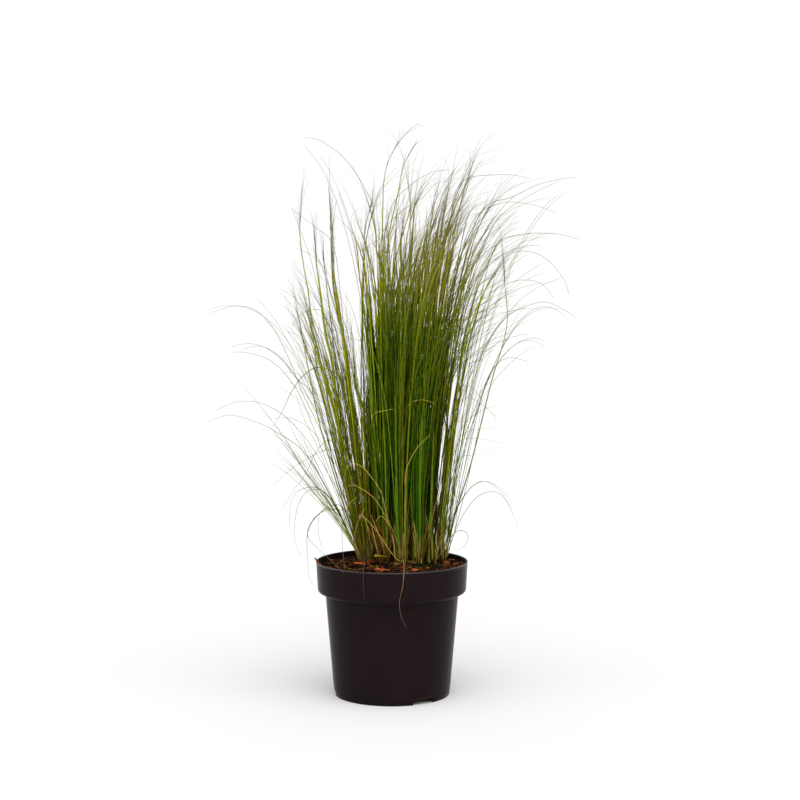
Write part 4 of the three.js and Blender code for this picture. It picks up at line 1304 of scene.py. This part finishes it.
def parted(lines):
    """Pushes strands sideways, out of the partings, and leaves out those that cross one."""
    cos, sin = math.cos(CAMERA_PITCH), math.sin(CAMERA_PITCH)
    apart = lines - np.array(CAMERA_PLACE)
    depth = apart[..., 1] * cos - apart[..., 2] * sin
    px = MIDDLE_PIXEL + FOCAL_PIXELS * apart[..., 0] / depth
    py = MIDDLE_PIXEL - FOCAL_PIXELS * (apart[..., 1] * sin + apart[..., 2] * cos) / depth
    shift = np.zeros_like(px)
    rng = np.random.default_rng(77)
    crossing = np.zeros(len(px), bool)
    for wide, route in PARTINGS:
        across, down = np.array(route).T
        inside_ends = np.minimum(py - down[0], down[-1] - py)
        room = wide * rng.uniform(0.65, 1.25, (len(px), 1)) * np.clip(inside_ends / PARTING_FADE, 0, 1)
        away = px + shift - np.interp(py, down, across)
        reach = wide * PARTING_REACH
        near = (np.abs(away) < reach) & (room > 0)
        side = np.where(np.where(near, away, 0).sum(axis=1, keepdims=True) < 0, -1, 1)
        own = away * side
        pushed = side * (room + np.maximum(own, 0) * (1 - room / reach))
        shift += np.where(near, pushed - away, 0)
        crossing |= (near & (own < -0.7 * reach)).any(axis=1)
    moved = lines.copy()
    moved[..., 0] += shift * depth / FOCAL_PIXELS
    return moved[~crossing]


# Each kind of lone strand: its radius at the foot and at the tip, and how far along the first one holds.
LONE_SIZES = {
    "stout": (1.75, 0.4, 0.35),
    "culm": (0.8, 0.25, 0.4),
    "leaf": (0.6, 0.15, 0.4),
    "wiry": (0.3, 0.13, 0.5),
    "wisp": (0.26, 0.12, 0.3),
    "hair": (0.36, 0.16, 0.3),
    "broad": (1.15, 0.5, 0.6),
    "bright": (0.85, 0.2, 0.5),
    "brown": (0.45, 0.2, 0.5),
    "gold": (0.34, 0.17, 0.5),
    "curl": (0.5, 2.0, 0.2),
    "straw": (0.42, 0.16, 0.5),
    "sheath": (0.95, 0.5, 0.3),
    "husk": (1.7, 0.5, 0.2),
}
# The green kinds: how olive, the span of their tone, the colour that their end turns to and from where, and
# the awns of their plume. The others have a dry colour.
GREEN_KINDS = {
    "stout": (0.95, (0.45, 0.7), PLUME_GREY, 0.85, 20),
    "culm": (0.85, (0.3, 0.7), PLUME_GREY, 0.8, 11),
    "leaf": (0.7, (0.3, 0.8), HAIR_GREY, 0.6, 0),
    "wiry": (0.85, (0.5, 0.95), HAIR_GREY, 0.3, 0),
    "wisp": (0.7, (0.3, 0.7), HAIR_GREY, 0.2, 0),
    "hair": (0.6, (0.2, 0.7), HAIR_GREY, 0.25, 0),
    "broad": (0.3, (0.55, 0.68), None, 1, 0),
    "bright": (0.3, (0.72, 0.86), None, 1, 0),
}

# The bunches at the sides are sparse and olive, the inner ones full and green.
OLIVE_SHARES = {0: 0.8, 1: 0.85, 2: 0.75, 3: 0.3, 7: 0.5, 8: 0.85, 13: 0.4}
INNER_OLIVE = 0.06
FULL_SHARES = {0: 0.2, 1: 0.2, 2: 0.25, 3: 0.85, 7: 0.5, 8: 0.25, 13: 0.7}
SLIM_SHARES = {0: 0.7, 1: 0.7, 2: 0.7, 8: 0.8}
LEFT_BUNCHES = (0, 1, 2)
WINDY_BUNCHES = (6, 7, 8, 10, 12, 13)
TYPICAL_LENGTH = 400
AWN_STEPS = 9
SHEATH_COUNT = 16
CURL_COUNT = 4


class Bunch:
    """One bunch's fine strands, grown into one mesh."""

    def __init__(self, bunch):
        self.bunch, self.number = bunch, bunch["number"]
        self.rng = np.random.default_rng(500 + self.number)
        self.batch = TubeBatch()
        self.olive = OLIVE_SHARES.get(self.number, INNER_OLIVE)
        self.full = FULL_SHARES.get(self.number, 1.0)
        self.slim = SLIM_SHARES.get(self.number, 1)
        self.left = self.number in LEFT_BUNCHES
        self.windy = self.number in WINDY_BUNCHES

    def strands(self, kind):
        return [s for s in self.bunch["strands"] if s.kind == kind]

    def some(self, strands, share):
        return [s for s in strands if self.rng.random() < share]

    def follow(self, strands, each, steps, reach, root, tip, droop, wave=1.0, wind=0.1, combed=1.0):
        """Finer strands that follow the part's own, as an array (strands, steps, 3).

        each is how many follow one strand, and reach how far along it they end. They stray by root at the
        foot and by tip at the end, fall by droop, ripple by wave and lean to the right by wind. A share of
        them, combed, keeps clear of the partings.
        """
        rng, bunch = self.rng, self.bunch
        foot = np.repeat([s.foot for s in strands], each, axis=0)
        bend = np.repeat([s.bend for s in strands], each, axis=0)
        end = np.repeat([s.tip for s in strands], each, axis=0)
        count = len(foot)
        widened = (foot - (bunch["x"], bunch["y"], 0)) * (1, 1, 0) * (FOOT_SPREAD - 1)
        u = np.linspace(0, 1, steps)[None, :, None]
        t = u * rng.uniform(*reach, count)[:, None, None]
        lines = (1 - t) ** 2 * foot[:, None] + 2 * (1 - t) * t * bend[:, None] + t * t * end[:, None]
        length = np.linalg.norm(end - foot, axis=1)[:, None, None] / TYPICAL_LENGTH
        start = widened[:, None] + rng.normal(0, root, (count, 1, 3)) * (1, 1, 0)
        stray = rng.normal(0, tip, (count, 1, 3)) * (1, 1, 0.3)
        lines = lines + start * (1 - u) + stray * u**1.4 * length
        out = (end - (CLUMP_X, CLUMP_Y, 0)) * (1, 1, 0)
        out /= np.linalg.norm(out, axis=1, keepdims=True) + 30
        turn = rng.uniform(0, 2 * math.pi, count)
        way = out + np.stack([np.cos(turn), np.sin(turn), np.zeros(count)], 1) * 0.7 + (wind, 0, 0)
        way /= np.linalg.norm(way, axis=1, keepdims=True) + 1e-6
        fall = rng.uniform(*droop, count)[:, None, None] * length**2
        lines = lines + way[:, None] * fall * u**2.8
        lines[..., 2] -= (fall * 0.55 * u**4)[..., 0]
        phase = rng.uniform(0, 2 * math.pi, (count, 1, 1))
        lines = lines + np.sin(u * 8 + phase) * u * rng.normal(0, wave, (count, 1, 3)) * (1, 1, 0)
        loose = rng.random(count) >= combed
        return np.concatenate([lines[loose], parted(lines[~loose])])

    def tapered(self, lines, low, high, hold, end):
        """Radii between low and high that hold to a share of the length, then taper to a fine tip."""
        count, steps = lines.shape[:2]
        u = np.linspace(0, 1, steps)[None]
        first = self.rng.uniform(low, high, count)[:, None]
        return first * (1 - ease(u, hold, 1.15)) + end * ease(u, hold, 1)

    def tones(self, lines, low=0.0, high=1.0):
        return self.rng.uniform(low, high, len(lines))

    def olives(self, lines, olive, spread):
        return np.clip(self.rng.normal(olive, spread, len(lines)), 0, 1)

    def add(self, lines, radii, tints):
        """Adds the strands that stay within the plant's size, and gives them back."""
        keep = inside(lines)
        if keep.any():
            self.batch.add(lines[keep], radii[keep], np.broadcast_to(tints, lines.shape)[keep])
        return lines[keep]

    def add_blades(self):
        slim, blades = self.slim, self.some(self.strands("blade"), 0.4 + 0.6 * self.full)
        lines = self.follow(blades, each=1, steps=16, reach=(0.84, 1.03), root=0.4, tip=4, droop=(4, 26))
        radii = self.tapered(lines, 0.5 * slim, 0.85 * slim, hold=0.4, end=0.15)
        tone = self.tones(lines) ** 1.3
        self.add(lines, radii, blade_tints(tone, lines, self.olives(lines, self.olive, 0.2)))
        reach = (0.7, 1.1) if self.left else (0.45, 0.95)
        each = max(round(3 * self.full), 1)
        lines = self.follow(blades, each, steps=16, reach=reach, root=0.9, tip=8, droop=(2, 30))
        radii = self.tapered(lines, 0.32 * slim, 0.58 * slim, hold=0.3, end=0.12)
        tone = self.tones(lines) ** 1.9
        self.add(lines, radii, blade_tints(tone, lines, self.olives(lines, self.olive, 0.2)))

    def add_hairs(self):
        blades, steps = self.strands("blade"), 20
        each, reach, droop, wind = 3, (0.72, 1.18), (15, 130), 0.7
        if self.left:
            each, reach, droop, wind = 4, (0.7, 1.24), (10, 100), 0.4
        if self.windy:
            blades, wind = self.some(blades, 0.8), 0.85
        lines = self.follow(blades, each, steps, reach, 1.6, 13, droop, wave=1.5, wind=wind, combed=0.8)
        radii = self.tapered(lines, 0.2 * self.slim, 0.32 * self.slim, hold=0.2, end=0.14)
        olive = self.olives(lines, 0.3 + 0.6 * self.olive, 0.15)
        tints = blade_tints(self.tones(lines, 0.2, 0.8), lines, olive)
        grey = rising(steps, 0.6, 1) * ease(lines[..., 2:], 330, 540)
        self.add(lines, radii, lerp(tints, HAIR_GREY, grey * 0.75))

    def add_arches(self):
        arches, steps = self.strands("arch"), 24
        if not arches:
            return
        each = 1 if self.left else 2
        lines = self.follow(arches, each, steps, (0.88, 1.0), 1.2, 7, droop=(0, 6), wind=0, combed=0)
        radii = self.tapered(lines, 0.22, 0.34, hold=0.3, end=0.11)
        tints = blade_tints(self.tones(lines, 0.1, 0.7), lines, np.full(len(lines), 0.7))
        self.add(lines, radii, lerp(tints, HAIR_GREY, rising(steps, 0.4, 0.9)))

    def add_dead_blades(self):
        rng, steps = self.rng, 40
        u = np.linspace(0, 1, steps)
        for strand in self.strands("dead"):
            line = strand.at(u)[None]
            ripple = rng.normal(0, 0.25, (1, steps, 3)).cumsum(axis=1) * 0.12 * (1, 0, 0)
            shade = rng.uniform(0.7, 1.2, (1, steps, 1))
            radii = lerp(0.4, 0.16, ease(u, 0.3, 1))[None]
            tints = DEAD_TANS[self.number] * shade * lerp(1, 0.5, rising(steps, 0.4, 1))
            self.add(line + ripple, radii, tints)

    def add_lone_strands(self):
        """The single strands of LONE_STRANDS that belong to this bunch, each grown from its foot."""
        rng, steps = self.rng, 40
        u = np.linspace(0, 1, steps)
        for lone in LONE_STRANDS:
            kind, seen = lone["kind"], lone["seen"]
            if lone["bunch"] != self.number:
                continue
            aside = (place_of(*seen[0], self.bunch["y"])[0] - self.bunch["x"]) / ROOT_SPREAD
            foot = root_at(self.bunch, float(np.clip(aside, -0.9, 0.9)), rng.uniform(-0.8, 0.2))
            depths = lerp(foot[1], lone["out"], np.linspace(0, 1, len(seen) + 1)[1:] ** 0.7)
            route = [foot] + [place_of(*pixel, y) for pixel, y in zip(seen, depths)]
            line = spline(route, u)[None]
            foot_radius, tip_radius, hold = LONE_SIZES[kind]
            radii = lerp(foot_radius, tip_radius, ease(u, hold, 1.05))[None]
            if kind not in GREEN_KINDS:
                self.add(line, radii, DRY_COLOURS[kind] * rng.uniform(0.8, 1.1))
                continue
            olive, tones, end, grey_from, awns = GREEN_KINDS[kind]
            tints = blade_tints(self.tones(line, *tones), line, np.array([olive]), 0)
            if end is not None:
                tints = lerp(tints, end, rising(steps, grey_from, 1))
            grown = self.add(line, radii, tints)
            if awns and len(grown):
                self.add_plumes(grown, awns)

    def add_culms(self):
        """Flowering stems, firm and olive, that end in a loose grey plume."""
        steps = 20
        most, low, high, wind = 6, 0.75, 1.15, 0.4
        if self.left:
            most, low, high, wind = 2, 0.6, 0.9, 0.1
        if self.windy:
            wind = 0.45
        tall = sorted(self.strands("blade"), key=lambda s: -s.tip[2])[:most]
        strands = tall + self.strands("stem")
        lines = self.follow(strands, 1, steps, (0.96, 1.04), 0.3, 4, droop=(4, 50), wave=0.5, wind=wind)
        radii = self.tapered(lines, low, high, hold=0.55, end=0.2)
        tints = blade_tints(self.tones(lines, 0.3, 1), lines, np.full(len(lines), 0.85), 0)
        culms = self.add(lines, radii, lerp(tints, PLUME_GREY, rising(steps, 0.86, 1) * 0.7))
        self.add_plumes(culms, 8)

    def add_plumes(self, culms, awns):
        """Fine awns along the upper third of each culm, each with a seed at its foot."""
        rng, (count, steps, _) = self.rng, culms.shape
        places = rng.uniform(0.66, 1.0, (count, awns)) * (steps - 1)
        low = np.minimum(places.astype(int), steps - 2)
        rows = np.arange(count)[:, None]
        along = culms[rows, low + 1] - culms[rows, low]
        roots = (culms[rows, low] + along * (places - low)[..., None]).reshape(-1, 1, 3)
        along = (along / np.linalg.norm(along, axis=2, keepdims=True)).reshape(-1, 1, 3)
        count = len(roots)
        length = rng.uniform(28, 62 if self.left else 84, count)[:, None, None]
        turn = rng.uniform(0, 2 * math.pi, count)
        out = np.stack([np.cos(turn) + 0.5, np.sin(turn), np.zeros(count)], 1)[:, None]
        u = np.linspace(0, 1, AWN_STEPS)[None, :, None]
        opening = rng.uniform(0.0, 0.07, count)[:, None, None]
        curl = (rng.random(count) ** 2 * (0.15 if self.left else 0.5))[:, None, None]
        sag = np.array([0, 0, 0.2]) * u**3
        hairs = roots + length * (along * u + out * (opening * u + curl * u**3) - sag)
        shade = rng.uniform(0.7, 1.2, count)[:, None, None]
        self.add(hairs, np.tile(np.linspace(0.2, 0.09, AWN_STEPS), (count, 1)), PLUME_GREY * shade)
        seed = hairs[:, :1] + (hairs[:, 1:2] - hairs[:, :1]) * np.linspace(0, 0.7, 4)[None, :, None]
        radii = np.tile([0.1, 0.38, 0.34, 0.12], (count, 1))
        self.add(seed, radii, lerp(PLUME_GREY, OLIVE_DARK, 0.4) * shade)

    def low_strands(self, count, steps, heights, lean, bow):
        """Short strands round the foot, as an array (strands, steps, 3)."""
        rng, bunch = self.rng, self.bunch
        turn = rng.uniform(0, 2 * math.pi, count)
        spread = rng.uniform(0.3, 1.0, count) * CROWN_RADIUS * FOOT_SPREAD
        x, y = bunch["x"] + np.cos(turn) * spread, bunch["y"] + np.sin(turn) * spread
        foot = np.stack([x, y, np.full(count, crown_top(bunch) - CROWN_RISE - 1)], 1)
        rise = rng.uniform(*heights, count)
        away = rng.normal(0, 1, (count, 3)) * (1, 1, 0) * lean * rise[:, None]
        away[:, :2] += np.array([bunch["lean_x"], bunch["lean_y"]]) * rise[:, None] / 500
        away[:, 2] = rise
        side = rng.normal(0, 1, (count, 1, 3)) * (1, 1, 0) * bow * rise[:, None, None]
        u = np.linspace(0, 1, steps)[None, :, None]
        return foot[:, None] + away[:, None] * u + side * np.sin(u * rng.uniform(2, 4, (count, 1, 1)))

    def add_base(self):
        """Old sheaths round the foot and a few dead, curling blades."""
        rng = self.rng
        lines = self.low_strands(SHEATH_COUNT, steps=8, heights=(14, 60), lean=0.12, bow=0.03)
        tone = self.tones(lines, 0.25, 1.0)[:, None, None]
        mixed = lerp(SHEATH, BROWN, rng.random(SHEATH_COUNT)[:, None, None] ** 2)
        self.add(lines, self.tapered(lines, 0.7, 1.15, hold=0.2, end=0.3), mixed * tone)
        lines = self.low_strands(CURL_COUNT, steps=16, heights=(40, 150), lean=0.16, bow=0.12)
        gold = lerp(BROWN, GOLD, rng.random(CURL_COUNT)[:, None, None] * 0.7) * 0.8
        self.add(lines, self.tapered(lines, 0.2, 0.34, hold=0.5, end=0.12), gold)

    def make(self, material):
        self.add_blades()
        self.add_hairs()
        self.add_arches()
        self.add_culms()
        self.add_dead_blades()
        self.add_lone_strands()
        self.add_base()
        number = self.number + 1
        thing = self.batch.make(f"grass_{number:02d}")
        thing.data.materials.append(material)
        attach(thing, "root")
        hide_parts(f"grass_bunch_{number:02d}")


# ---- Build ----

add_camera()
add_studio()

make_pot()
ground = soil_material()
make_soil(ground)
make_litter(ground)
blades = grass_material()
for grown in Clump().grow_all():
    Bunch(grown).make(blades)
